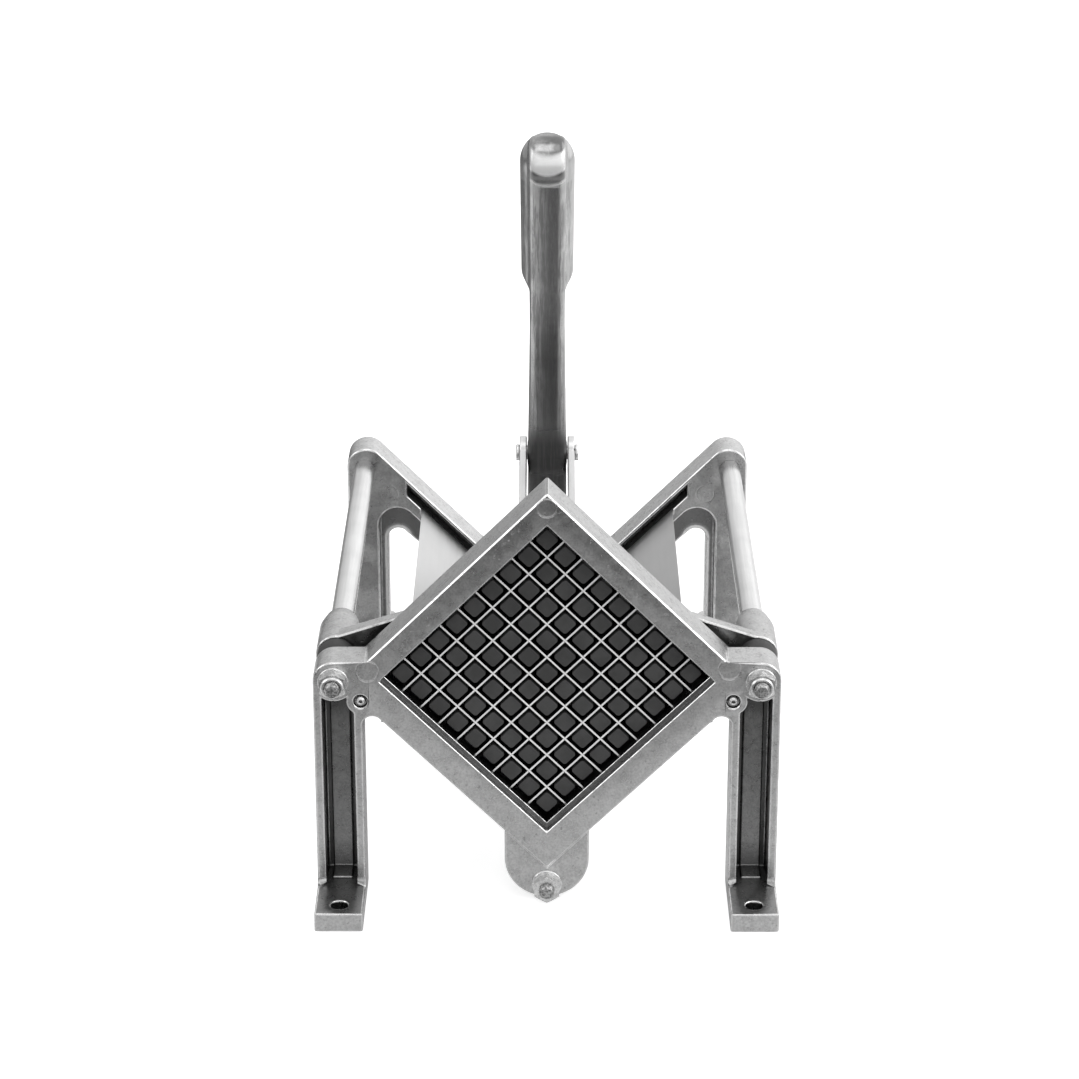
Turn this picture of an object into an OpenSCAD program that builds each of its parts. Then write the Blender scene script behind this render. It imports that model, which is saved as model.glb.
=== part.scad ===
// Lever french fry cutter: two cast end frames joined by three rods, a square
// blade grid set on its corner, a V trough and a pusher carriage drawn along
// the side rods by a hand lever and a pair of links.
// X is across, Y runs from the blade grid (negative) to the lever pivot, Z is up.
// The origin lies on the counter, midway between the four foot bolt holes.

/* [Overall] */
// Distance from a blade frame corner out to the inner side of a leg
leg_clear = 2.2; // [2.2:0.1:6]
// Distance from an outer casting face out to its foot bolt holes
foot_hole_reach = 17.5; // [15:0.5:20]

/* [Blade grid] */
// Spacing of the blades
cell_pitch = 9.9; // [9.7:0.1:9.9]
// Thickness of a blade strip
blade_gauge = 0.7; // [0.5:0.1:0.9]
// Width of a blade strip along the cut
blade_depth = 12; // [10:0.5:12]
// Distance of the blade edges behind the front face
blade_setback = 6; // [5:0.5:7]
// Play of a blade strip in each slot and notch, per side
blade_play = 0.1; // [0.05:0.01:0.15]

/* [Castings] */
// Depth of both castings
casting_depth = 19; // [18:0.5:22]
// Distance of the upper ring edges outside the blade frame, on the diagonal axis
ring_top_out = 7.6; // [7.2:0.1:10]
// Distance of the lower ring edges outside the blade frame, on the diagonal axis
ring_low_out = 12.3; // [12.2:0.1:14]
// Distance of the window corners outside the blades, on the diagonal axis
window_out = 2; // [1.6:0.1:2.4]
// Drop of the window centre below the grid centre
window_drop = 0.95; // [0.5:0.05:1]
// Depth of the lip in front of the blade frame
lip_depth = 3; // [2.5:0.5:4]
// Thickness of a blade frame wall
frame_wall = 4.606; // [4.5:0.002:5]
// Width of a leg
leg_w = 19; // [18:0.5:20]
// Thickness of a leg rim
leg_rim = 3.3; // [3:0.1:4]
// Thickness of a leg web
leg_web = 3.5; // [3:0.1:5]
// Length of a foot beyond the casting face
foot_reach = 25; // [24:0.5:28]
// Thickness of a foot
foot_thick = 8; // [6:0.5:10]
// Radius of a foot bolt hole
foot_hole_r = 3.4; // [3:0.1:4]
// Radius of the rod boss of the front casting
boss_r = 8; // [7.5:0.1:8.5]
// Radius of the rod boss of the rear casting
rear_boss_r = 8.7; // [8.2:0.1:9.4]
// Rise of the rear boss centres above the rods
rear_boss_rise = 1.2; // [0:0.1:2]
// Depth of the front rod bosses
boss_depth = 16; // [15:0.5:17]
// Depth of the rear rod bosses
rear_boss_depth = 17.5; // [14:0.5:18]
// Half width of the lower tab
tab_half_w = 16.7; // [15:0.1:18]
// Lean of the upper edges of the rear arms
rear_arm_lean = 45; // [42:0.5:47]
// Drop of the rear arch centres below the grid centre
arch_drop = 37.6; // [36:0.1:39]
// Thickness of a pivot ear
ear_thick = 5; // [4:0.5:6]

/* [Rods and fixings] */
// Radius of a side rod
rod_r = 4.75; // [4.5:0.05:5]
// Offset of a side rod outward from the middle of its leg
rod_outset = 1.5; // [1.5:0.1:2.5]
// Drop of the side rods below the grid centre
rod_drop = 0.7; // [0:0.1:1]
// Radius of the lower tie rod
tie_r = 4; // [3.5:0.1:4.5]
// Distance of the lower tie rod below the lower ring corner
tie_gap = 7.4; // [7:0.1:8]
// Height of the lower tie rod above the counter
tie_lift = 7.5; // [7.5:0.5:12]
// Radius of the threaded rod ends
stud_r = 3; // [2.5:0.1:3]
// Depth of a rod end in its casting
rod_seat = 8; // [6:0.5:10]
// Width across the flats of a rod nut
nut_af = 10; // [10:0.1:11]
// Thickness of a locking rod nut
lock_nut_t = 6; // [5:0.5:7]
// Thickness of a plain nut
plain_nut_t = 5; // [4:0.5:6]
// Radius of a rod washer
washer_r = 6; // [6:0.1:6.5]
// Thickness of a rod washer
washer_t = 1.2; // [1:0.1:1.6]
// Length of thread standing beyond a nut
thread_out = 2.5; // [1:0.5:5]
// Radius of a small screw shank
screw_r = 1.45; // [1.2:0.05:1.6]
// Radius of a small screw head
screw_head_r = 2.4; // [2.2:0.1:2.6]
// Height of a small screw head
screw_head_h = 2; // [1.6:0.1:2.4]
// Radial fit of a shaft in its bore
bore_fit = 0.06; // [0.02:0.01:0.1]
// Clearance round a bolt or a stud
bolt_fit = 0.3; // [0.2:0.05:0.4]
// Gap between pieces that move past each other
run_gap = 0.3; // [0.3:0.05:0.4]

/* [Trough] */
// Thickness of the trough sheet
sheet_t = 1.2; // [1:0.1:1.5]
// Distance of the inner trough faces inside the lower ring edges, on the diagonal axis
trough_inset = 4.5; // [4:0.1:5]
// Half width of the trough
trough_half_w = 57.3; // [55:0.1:60]
// Depth of the trough edge in each casting
trough_seat = 2; // [1.5:0.1:3]
// Play of the trough edge in its groove
groove_play = 0.1; // [0.05:0.01:0.2]

/* [Carriage and pusher] */
// Distance of the carriage face behind the front face
carriage_setback = 25; // [25:0.5:27]
// Distance from the carriage face back to the carriage pin
lug_back = 40; // [39:0.5:44]
// Thickness of the carriage plate
plate_t = 6; // [5:0.5:7]
// Length of a carriage boss
slider_len = 32; // [30:1:36]
// Radius of a carriage boss
slider_r = 8.4; // [8.2:0.1:8.8]
// Radius of a carriage boss at its rear end
slider_end_r = 6.8; // [6.7:0.1:7]
// Wall thickness of a guide bushing
bush_wall = 1.2; // [1:0.1:1.5]
// Gap between two pusher fingers
finger_gap = 3.3; // [3:0.1:3.8]
// Corner radius of a pusher finger
finger_r = 1.2; // [0.8:0.1:1.6]
// Distance of the finger tips behind the front face
tip_setback = 6.2; // [6:0.1:8]
// Distance of the pusher base edges inside the blade grid
pusher_inset = 0.95; // [0.75:0.05:2]
// Radius of a front bumper
bumper_r = 7.8; // [7:0.1:8]

/* [Lever and links] */
// Distance of the lever pivot from the rear casting back
pivot_inset = 11; // [11:0.5:12]
// Drop of the lever pivot below the grid centre
pivot_drop = 45; // [44:0.5:46]
// Forward distance from the lever pivot to the link pin
pin_ahead = 89; // [88:0.5:90]
// Height of the link pin above the lever pivot
pin_rise = 83; // [82:0.5:84]
// Forward distance from the link pin to the carriage pin
link_ahead = 86; // [85:0.5:87]
// Drop of the carriage pin below the link pin
link_fall = 38; // [37:0.5:39]
// Width of the lever bar
bar_w = 14.4; // [13:0.1:15]
// Half depth of the lever bar
bar_half = 10; // [9:0.1:11]
// Half width of the lever bosses
hub_half_w = 8.4; // [8:0.1:8.4]
// Radius of the lever boss round the pivot bolt
hub_r = 11.5; // [11:0.1:12]
// Radius of the pivot bolt
pivot_r = 4; // [3.5:0.1:4]
// Thickness of a link
link_t = 3; // [2.5:0.1:3.5]
// Radius of the link ends
link_end_r = 7; // [6.5:0.1:7.5]
// Half height of a link between its ends
link_half_h = 5.5; // [5:0.1:6]
// Radius of a link pin
pin_r = 3; // [2.8:0.1:3]
// Radius of a link pin head
pin_head_r = 3.5; // [3.4:0.1:4]
// Height of a link pin head
pin_head_t = 1.7; // [1.5:0.1:2]
// Forward distance from the lever pivot to the grip foot
grip_foot_ahead = 130; // [125:1:135]
// Height of the grip foot above the lever pivot
grip_foot_rise = 168.4; // [165:0.1:172]
// Forward reach of the lever's heel curve
heel_ahead = 90; // [85:1:92]
// Rise of the lever's heel curve
heel_rise = 34; // [32:1:38]
// Straight length of the lever below the grip foot
neck_len = 40; // [35:1:45]
// Lean of the grip from the vertical
grip_lean = 42; // [40:1:44]
// Radius of the grip
grip_r = 10.5; // [10:0.1:11]
// Distance from the grip foot to the centre of its rounded end
grip_len = 92; // [85:1:100]
// Distance of the bar's nose centre beyond the centre of the grip's end
nose_out = 3.5; // [2:0.5:5]

/* [Hidden] */
$fn = 48;
past = 1;
cell_count = 9;
root2 = sqrt(2);
cast_round = 4;
frame_len = carriage_setback + lug_back + link_ahead + pin_ahead + pivot_inset;
foot_span_y = frame_len + 2 * foot_hole_reach;
front_y = -frame_len / 2;
rear_y = frame_len / 2;
front_back_y = front_y + casting_depth;
rear_face_y = rear_y - casting_depth;
rear_nut_y = rear_face_y + rear_boss_depth;
tab_inset = 1.5;
tie_face_y = front_y + tab_inset;
grid_half = cell_pitch * cell_count / 2;
frame_play = 0.2;
frame_in = grid_half + frame_play;
frame_reach = (frame_in + frame_wall) * root2;
seat_reach = frame_reach + frame_play;
window_reach = grid_half * root2 + window_out;
ring_top_reach = frame_reach + ring_top_out;
ring_low_reach = frame_reach + ring_low_out;
finger_w = cell_pitch - finger_gap;
pusher_half = grid_half - pusher_inset;
leg_in = frame_reach + leg_clear;
leg_mid_x = leg_in + leg_w / 2;
leg_out = leg_in + leg_w;
rod_half_span = leg_mid_x + rod_outset;
tie_drop = ring_low_reach + tie_gap;
trough_reach = ring_low_reach - trough_inset;
centre_height = tie_drop + tie_lift;
rod_z = -rod_drop;
shoulder_z = rod_z + boss_r;
counter_z = -centre_height;
tab_lift = 1.5;
tab_z = tab_half_w + tab_lift - centre_height;
notch_depth = 2.2;
blade_half = frame_in + notch_depth;
blade_y = front_y + blade_setback;
collar_share = 0.46;
pivot_af = 3.2 * pivot_r;
relief_w = 3 * pivot_r;
pivot_head_h = 1.3 * pivot_r;
pivot_nut_h = 1.6 * pivot_r;
screw_bite = 4.5;
screw_out = 2.7;
screw_x = frame_reach + screw_out;
screw_z = -9.3;
ear_end_r = 4.6;
ear_wall = 1.1;
channel_gap = 0.7;
ear_t = 4;
stud_len = washer_t + lock_nut_t + thread_out;
tie_stud_len = washer_t + plain_nut_t + thread_out;
bush_r = rod_r + bore_fit + bush_wall;
carriage_y = front_y + carriage_setback;
plate_back_y = carriage_y + plate_t;
pusher_y = blade_y + blade_depth + run_gap + frame_play;
pivot_y = rear_y - pivot_inset;
pivot_z = centre_height - pivot_drop;
pin_y = pivot_y - pin_ahead;
pin_z = pivot_z + pin_rise;
lug_y = pin_y - link_ahead;
lug_z = pin_z - link_fall;
link_len = norm([link_ahead, link_fall]);
link_tilt = atan2(link_fall, link_ahead);
link_in = hub_half_w + run_gap;
link_out = link_in + link_t;
ear_in = hub_half_w + run_gap;
ear_out = ear_in + ear_thick;

// A flat shape drawn in X and Z about the grid centre, from depth y0 to y1
module slab(y0, y1) {
    translate([0, y1, centre_height])
        rotate([90, 0, 0])
            linear_extrude(y1 - y0)
                children();
}

// A rod along Y at x and z about the grid centre
module along_y(x, z, r, y0, y1) {
    translate([x, y1, centre_height + z])
        rotate([90, 0, 0])
            cylinder(h = y1 - y0, r = r);
}

// A cone along Y, radius r0 at y0 and r1 at y1
module cone_y(x, z, r0, r1, y0, y1) {
    translate([x, y0, centre_height + z])
        rotate([-90, 0, 0])
            cylinder(h = y1 - y0, r1 = r0, r2 = r1);
}

// A round bar along X at y and z
module along_x(y, z, r, x0, x1) {
    translate([x0, y, z])
        rotate([0, 90, 0])
            cylinder(h = x1 - x0, r = r);
}

// A flat shape drawn in Y and Z, from x0 to x1
module side_slab(x0, x1) {
    translate([x0, 0, 0])
        rotate([90, 0, 90])
            linear_extrude(x1 - x0)
                children();
}

// A six sided nut along Y
module nut_y(x, z, af, y0, y1) {
    translate([x, y1, centre_height + z])
        rotate([90, 0, 0])
            linear_extrude(y1 - y0)
                polygon([for (k = [0 : 5]) [af / sqrt(3) * cos(60 * k), af / sqrt(3) * sin(60 * k)]]);
}

module both_sides() {
    children();
    mirror([1, 0, 0])
        children();
}

module diamond(reach) {
    polygon([[reach, 0], [0, reach], [-reach, 0], [0, -reach]]);
}

// Corner fillet outline between the lower ring edge and a leg
arch_x = leg_in - cast_round;
arch_z = arch_x - ring_low_reach - cast_round * root2;

module ring_outline() {
    side = (ring_top_reach + ring_low_reach) / 2;
    side_z = (ring_top_reach - ring_low_reach) / 2;
    polygon([[0, ring_top_reach], [side, side_z], [0, -ring_low_reach], [-side, side_z]]);
}

module front_leg_outline() {
    difference() {
        union() {
            polygon([
                [arch_x - cast_round, arch_x - cast_round - ring_low_reach],
                [ring_top_reach - shoulder_z, shoulder_z],
                [rod_half_span, shoulder_z],
                [leg_out, rod_z],
                [leg_out, counter_z],
                [leg_in, counter_z],
                [leg_in, arch_z],
                [arch_x, arch_z]
            ]);
            translate([rod_half_span, rod_z])
                circle(r = boss_r);
        }
        translate([arch_x, arch_z])
            circle(r = cast_round);
    }
}

// Open channel of a leg, closed at the top round the rod boss and the screw boss
module leg_channel_outline(top_z, boss, screw_boss) {
    difference() {
        polygon([
            [leg_in + leg_rim, counter_z + foot_thick],
            [leg_out - leg_rim, counter_z + foot_thick],
            [leg_out - leg_rim, top_z],
            [leg_in + leg_rim, top_z]
        ]);
        translate([rod_half_span, rod_z])
            circle(r = boss);
        translate([screw_x, screw_z])
            circle(r = screw_boss);
    }
}

module tab_outline() {
    translate([0, tab_z])
        circle(r = tab_half_w);
    translate([-tab_half_w, tab_z])
        square([2 * tab_half_w, -tab_z - ring_low_reach + 2 * tab_half_w]);
}

// A foot lying on the counter with its bolt hole, x about the leg, y0 to y1
module foot(y0, y1, toe_y, hole_y) {
    toe = foot_hole_r;
    step = toe_y < hole_y ? toe : -toe;
    difference() {
        union() {
            translate([leg_in, min(toe_y + step, y1, y0), 0])
                cube([leg_w, abs((toe_y < hole_y ? y1 : y0) - toe_y - step), foot_thick]);
            translate([leg_in + toe, min(toe_y, toe_y + step), 0])
                cube([leg_w - 2 * toe, toe, foot_thick]);
            for (x = [leg_in + toe, leg_out - toe])
                translate([x, toe_y + step, 0])
                    cylinder(h = foot_thick, r = toe);
        }
        translate([leg_mid_x, hole_y, -past])
            cylinder(h = foot_thick + 2 * past, r = foot_hole_r);
    }
}

module trough_outline(inner, outer, half_w) {
    polygon([
        [half_w, half_w - inner],
        [0, -inner],
        [-half_w, half_w - inner],
        [-half_w, half_w - outer],
        [0, -outer],
        [half_w, half_w - outer]
    ]);
}

trough_out_reach = trough_reach + sheet_t * root2;

module trough_groove(y0, y1) {
    slab(y0, y1)
        trough_outline(trough_reach - groove_play, trough_out_reach + groove_play,
            trough_half_w + groove_play);
}

module front_casting() {
    color([0.62, 0.62, 0.61])
        difference() {
            union() {
                slab(front_y, front_y + boss_depth)
                    ring_outline();
                slab(front_y, front_back_y)
                    difference() {
                        ring_outline();
                        both_sides_flat()
                            translate([rod_half_span, rod_z])
                                circle(r = bumper_r + run_gap);
                    }
                slab(front_y, front_y + boss_depth)
                    both_sides_flat()
                        front_leg_outline();
                slab(front_y, front_back_y)
                    both_sides_flat()
                        intersection() {
                            front_leg_outline();
                            translate([leg_in, counter_z])
                                square([leg_w, -counter_z - 2 * boss_r]);
                        }
                slab(tie_face_y, front_back_y)
                    tab_outline();
                both_sides()
                    foot(front_y - foot_reach, front_back_y,
                        front_y - foot_reach, -foot_span_y / 2);
            }
            translate([0, 0, -window_drop])
                slab(front_y - past, front_back_y + past)
                    diamond(window_reach);
            slab(front_y + lip_depth, front_back_y + past)
                diamond(seat_reach);
            both_sides() {
                slab(front_y - past, front_back_y - leg_web)
                    leg_channel_outline(rod_z, boss_r + channel_gap, ear_end_r + ear_wall);
                along_y(rod_half_span, rod_z, stud_r + bolt_fit, front_y - past, front_y + boss_depth);
                along_y(rod_half_span, rod_z, rod_r + bore_fit, front_y + rod_seat, front_back_y + past);
                along_y(screw_x, screw_z, screw_r + bolt_fit, front_y - past, front_back_y + past);
                along_y(screw_x, screw_z, screw_head_r + bolt_fit,
                    front_y - past, front_y + screw_head_h);
                frame_ear(run_gap, past);
            }
            along_y(0, -tie_drop, stud_r + bolt_fit, front_y - past, front_back_y + past);
            along_y(0, -tie_drop, tie_r + bore_fit, front_y + rod_seat, front_back_y + past);
            trough_groove(front_back_y - trough_seat, front_back_y + past);
        }
}

module both_sides_flat() {
    children();
    mirror([1, 0])
        children();
}

// Ear of the blade frame, grown by the given clearance and run past the back
module frame_ear(grow, run) {
    y0 = front_back_y - ear_t - grow;
    y1 = front_back_y + run;
    ear_x = screw_x - 3 * ear_end_r;
    along_y(screw_x, screw_z, ear_end_r + grow, y0, y1);
    slab(y0, y1)
        translate([ear_x, screw_z - ear_end_r - grow])
            square([screw_x - ear_x, 2 * (ear_end_r + grow)]);
}

// Rear arms: the top edge leaves the boss as a tangent and falls to the notch
rear_boss_x = leg_out - rear_boss_r;
rear_boss_z = rod_z + rear_boss_rise;
rear_tan_x = rear_boss_x - rear_boss_r * sin(rear_arm_lean);
rear_tan_z = rear_boss_z + rear_boss_r * cos(rear_arm_lean);
rear_arm_slope = tan(rear_arm_lean);
notch_drop = rear_tan_x * rear_arm_slope - rear_tan_z;
arch_r = 4.6;
rear_leg_step = 1.2;
rear_leg_in = leg_in + rear_leg_step;
rear_arch_x = rear_leg_in - arch_r;
rear_arch_z = -arch_drop;

// Lower edge of a rear arm: from the foot of the tab to the arch, which it meets as a tangent
arm_low_reach = centre_height - tab_lift;
arm_low_lean = atan2(rear_arch_z + arm_low_reach, rear_arch_x)
    + asin(arch_r / norm([rear_arch_x, rear_arch_z + arm_low_reach]));

module rear_arm_outline() {
    difference() {
        union() {
            polygon([
                [0, -notch_drop],
                [rear_tan_x, rear_tan_z],
                [rear_boss_x, rear_boss_z + rear_boss_r],
                [leg_out, rear_boss_z],
                [leg_out, counter_z],
                [rear_leg_in, counter_z],
                [rear_leg_in, rear_arch_z],
                [rear_arch_x, rear_arch_z],
                [rear_arch_x - arch_r * sin(arm_low_lean), rear_arch_z + arch_r * cos(arm_low_lean)],
                [0, -arm_low_reach]
            ]);
            translate([rear_boss_x, rear_boss_z])
                circle(r = rear_boss_r);
        }
        translate([rear_arch_x, rear_arch_z])
            circle(r = arch_r);
    }
}

// Wide shallow pocket in front of each rear arch, below the trough seat
hood_side = 3.9;
hood_rise = 9.6;
hood_depth = 9;
hood_r = arch_r + hood_side;
hood_in = tab_half_w + 2 * hood_side;
hood_end = counter_z + 2 * foot_thick;

hood_z = rear_arch_z + hood_rise;
hood_reach = rear_arch_x - hood_z - hood_r * root2;

module arch_hood() {
    translate([rear_arch_x, hood_z])
        circle(r = hood_r);
    polygon([
        [rear_arch_x, hood_z],
        [rear_arch_x - hood_r / root2, hood_z + hood_r / root2],
        [hood_in, hood_in - hood_reach],
        [hood_in, hood_end],
        [rear_arch_x + hood_r, hood_end],
        [rear_arch_x + hood_r, hood_z]
    ]);
}

// Channel sunk in the front of a rear arm, between its upper flange and the trough
arm_flange = 1.8;
arm_channel_depth = 10;
channel_end = 5;
channel_out = 8;

module rear_arm_channel() {
    top_z = -notch_drop - arm_flange * norm([1, rear_arm_slope]);
    low_z = -trough_reach;
    x0 = ear_out + channel_end;
    intersection() {
        polygon([
            [0, top_z],
            [rod_half_span, rod_half_span * rear_arm_slope + top_z],
            [rod_half_span, rod_half_span + low_z],
            [0, low_z]
        ]);
        difference() {
            translate([x0, -notch_drop])
                square([leg_in - channel_out - x0, notch_drop]);
            translate([rear_boss_x, rear_boss_z])
                circle(r = rear_boss_r + leg_rim);
        }
    }
}

module pivot_ear() {
    along_x(pivot_y, pivot_z, pivot_inset, ear_in, ear_out);
    translate([ear_in, rear_y - 2 * pivot_inset + leg_web, centre_height - notch_drop - sheet_t])
        cube([ear_thick, 2 * pivot_inset - leg_web, notch_drop - pivot_drop + sheet_t]);
}

// Bore of the pivot bolt, and room in the arms for the lever boss, bolt head and nut
module pivot_relief() {
    wrench_r = pivot_af / sqrt(3) + bolt_fit;
    along_x(pivot_y, pivot_z, pivot_r + bore_fit, -ear_out - past, ear_out + past);
    along_x(pivot_y, pivot_z, hub_r + run_gap, -ear_in, ear_in);
    both_sides() {
        along_x(pivot_y, pivot_z, wrench_r, ear_out, ear_out + relief_w);
        translate([ear_out, pivot_y - wrench_r, pivot_z])
            cube([relief_w, 2 * wrench_r, notch_drop]);
    }
}

module rear_casting() {
    color([0.6, 0.6, 0.59])
        difference() {
            union() {
                slab(rear_face_y, rear_face_y + rear_boss_depth)
                    both_sides_flat()
                        rear_arm_outline();
                slab(rear_face_y, rear_y)
                    both_sides_flat()
                        intersection() {
                            rear_arm_outline();
                            translate([rear_arch_x, counter_z])
                                square([leg_out - rear_arch_x, -counter_z - 2 * boss_r]);
                        }
                slab(rear_face_y, rear_y)
                    tab_outline();
                both_sides()
                    pivot_ear();
                both_sides()
                    foot(rear_face_y, rear_y + foot_reach, rear_y + foot_reach, foot_span_y / 2);
            }
            both_sides() {
                slab(rear_face_y + leg_web, rear_y + past)
                    intersection() {
                        leg_channel_outline(rod_z - rear_boss_r, rear_boss_r + leg_rim, channel_gap);
                        translate([rear_leg_in + hood_side + leg_rim, counter_z])
                            square([leg_w, centre_height]);
                    }
                slab(rear_face_y - past, rear_face_y + hood_depth)
                    arch_hood();
                slab(rear_face_y - past, rear_face_y + arm_channel_depth)
                    rear_arm_channel();
                along_y(rod_half_span, rod_z, stud_r + bolt_fit, rear_face_y, rear_y + past);
                along_y(rod_half_span, rod_z, rod_r + bore_fit,
                    rear_face_y - past, rear_nut_y - rod_seat);
            }
            along_y(0, -tie_drop, stud_r + bolt_fit, rear_face_y - past, rear_y + past);
            along_y(0, -tie_drop, tie_r + bore_fit, rear_face_y - past, rear_y - rod_seat);
            trough_groove(rear_face_y - past, rear_face_y + trough_seat);
            pivot_relief();
        }
}

module guide_rod() {
    y0 = front_y + rod_seat;
    y1 = rear_nut_y - rod_seat;
    along_y(rod_half_span, rod_z, rod_r, y0, y1);
    along_y(rod_half_span, rod_z, stud_r, front_y - stud_len, y0 + past);
    along_y(rod_half_span, rod_z, stud_r, y1 - past, rear_nut_y + stud_len);
}

module guide_rod_left() {
    color([0.85, 0.85, 0.86])
        mirror([1, 0, 0])
            guide_rod();
}

module guide_rod_right() {
    color([0.85, 0.85, 0.86])
        guide_rod();
}

module lower_tie_rod() {
    color([0.8, 0.8, 0.81]) {
        along_y(0, -tie_drop, tie_r, front_y + rod_seat, rear_y - rod_seat);
        along_y(0, -tie_drop, stud_r, tie_face_y - tie_stud_len, front_y + rod_seat + past);
        along_y(0, -tie_drop, stud_r, rear_y - rod_seat - past, rear_y + tie_stud_len);
    }
}

module trough() {
    color([0.78, 0.78, 0.79])
        slab(front_back_y - trough_seat, rear_face_y + trough_seat)
            trough_outline(trough_reach, trough_out_reach, trough_half_w);
}

function blade_at(i) = (i - cell_count / 2) * cell_pitch;

module blade_frame() {
    color([0.5, 0.5, 0.5])
        difference() {
            union() {
                slab(front_y + lip_depth, front_back_y)
                    diamond(frame_reach);
                both_sides()
                    frame_ear(0, 0);
            }
            slab(front_y, front_back_y + past)
                rotate(45)
                    square(2 * frame_in, center = true);
            slab(blade_y, front_back_y + past)
                rotate(45)
                    for (i = [1 : cell_count - 1]) {
                        translate([blade_at(i), 0])
                            square([blade_gauge + 2 * blade_play, 2 * blade_half], center = true);
                        translate([0, blade_at(i)])
                            square([2 * blade_half, blade_gauge + 2 * blade_play], center = true);
                    }
            both_sides()
                along_y(screw_x, screw_z, screw_r + bore_fit, front_y, front_back_y + past);
        }
}

// One row of eight strips running along local Y, slotted from y0 to y1
module blade_row(y0, y1) {
    difference() {
        slab(blade_y, blade_y + blade_depth)
            rotate(45)
                for (i = [1 : cell_count - 1])
                    translate([blade_at(i), 0])
                        square([blade_gauge, 2 * blade_half], center = true);
        slab(y0, y1)
            rotate(45)
                for (i = [1 : cell_count - 1])
                    translate([0, blade_at(i)])
                        square([2 * blade_half, blade_gauge + 2 * blade_play], center = true);
    }
}

module blades_falling() {
    color([0.88, 0.88, 0.9])
        blade_row(blade_y + blade_depth / 2 - blade_play, blade_y + blade_depth + past);
}

module blades_rising() {
    color([0.85, 0.85, 0.87])
        mirror([1, 0, 0])
            blade_row(blade_y - past, blade_y + blade_depth / 2 + blade_play);
}

module blade_frame_screws() {
    color([0.75, 0.75, 0.76])
        both_sides()
            difference() {
                union() {
                    along_y(screw_x, screw_z, screw_head_r, front_y, front_y + screw_head_h);
                    along_y(screw_x, screw_z, screw_r, front_y + screw_head_h / 2,
                        front_back_y);
                }
                nut_y(screw_x, screw_z, screw_head_r, front_y - past, front_y + screw_head_h / 2);
            }
}

module rod_nut(x, z, y0, y1) {
    difference() {
        nut_y(x, z, nut_af, y0, y1);
        along_y(x, z, stud_r + bore_fit, y0 - past, y1 + past);
    }
}

module lock_nut(x, z, y0, y1, ahead) {
    collar = lock_nut_t / 4;
    yc0 = ahead ? y0 : y1 - collar;
    rod_nut(x, z, ahead ? y0 + collar : y0, ahead ? y1 : y1 - collar);
    difference() {
        along_y(x, z, nut_af * collar_share, yc0, yc0 + collar);
        along_y(x, z, stud_r + bore_fit, y0 - past, y1 + past);
    }
}

module side_rod_nuts() {
    color([0.72, 0.72, 0.73])
        both_sides() {
            lock_nut(rod_half_span, rod_z, front_y - washer_t - lock_nut_t, front_y - washer_t, true);
            lock_nut(rod_half_span, rod_z, rear_nut_y + washer_t, rear_nut_y + washer_t + lock_nut_t,
                false);
        }
}

module tie_rod_nuts() {
    color([0.74, 0.74, 0.75]) {
        rod_nut(0, -tie_drop, tie_face_y - washer_t - plain_nut_t, tie_face_y - washer_t);
        rod_nut(0, -tie_drop, rear_y + washer_t, rear_y + washer_t + plain_nut_t);
    }
}

module rod_washer(x, z, y0) {
    difference() {
        along_y(x, z, washer_r, y0, y0 + washer_t);
        along_y(x, z, stud_r + bolt_fit, y0 - past, y0 + washer_t + past);
    }
}

module rod_washers() {
    color([0.8, 0.8, 0.8]) {
        both_sides() {
            rod_washer(rod_half_span, rod_z, front_y - washer_t);
            rod_washer(rod_half_span, rod_z, rear_nut_y);
        }
        rod_washer(0, -tie_drop, tie_face_y - washer_t);
        rod_washer(0, -tie_drop, rear_y);
    }
}

module front_bumpers() {
    color([0.15, 0.15, 0.15])
        both_sides()
            difference() {
                along_y(rod_half_span, rod_z, bumper_r, front_y + boss_depth, carriage_y - run_gap);
                along_y(rod_half_span, rod_z, rod_r + bore_fit, front_y, carriage_y + past);
            }
}

module pivot_bolt() {
    color([0.7, 0.7, 0.71]) {
        along_x(pivot_y, pivot_z, pivot_r, -ear_out - past, ear_out + pivot_r * 2);
        translate([-ear_out, pivot_y, pivot_z])
            rotate([0, -90, 0])
                linear_extrude(pivot_head_h)
                    hex_flat(pivot_af);
    }
}

module hex_flat(af) {
    polygon([for (k = [0 : 5]) [af / sqrt(3) * cos(60 * k), af / sqrt(3) * sin(60 * k)]]);
}

module pivot_nut() {
    color([0.72, 0.72, 0.73])
        difference() {
            translate([ear_out, pivot_y, pivot_z])
                rotate([0, 90, 0])
                    linear_extrude(pivot_nut_h)
                        hex_flat(pivot_af);
            along_x(pivot_y, pivot_z, pivot_r + bore_fit, ear_out - past, ear_out + pivot_r * 3);
        }
}

// Lever: centre line as a curve from the pivot to the grip foot, then a straight grip
grip_foot = [-grip_foot_ahead, grip_foot_rise];
grip_dir = [-sin(grip_lean), cos(grip_lean)];
grip_side = [cos(grip_lean), sin(grip_lean)];
curve = [[0, 0], [-heel_ahead, heel_rise], grip_foot - neck_len * grip_dir, grip_foot];
curve_steps = 20;
nose_steps = 12;
grip_cone = 18;
grip_set_back = 3;
grip_bite = 0.5;
hub_step = 1;

function curve_point(t) =
    pow(1 - t, 3) * curve[0] + 3 * pow(1 - t, 2) * t * curve[1]
    + 3 * (1 - t) * t * t * curve[2] + pow(t, 3) * curve[3];
function curve_way(t) =
    3 * pow(1 - t, 2) * (curve[1] - curve[0]) + 6 * (1 - t) * t * (curve[2] - curve[1])
    + 3 * t * t * (curve[3] - curve[2]);
function curve_side(t) = [curve_way(t)[1], -curve_way(t)[0]] / norm(curve_way(t));

function bar_edge(t, out) = curve_point(t) + out * curve_side(t);

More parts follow.
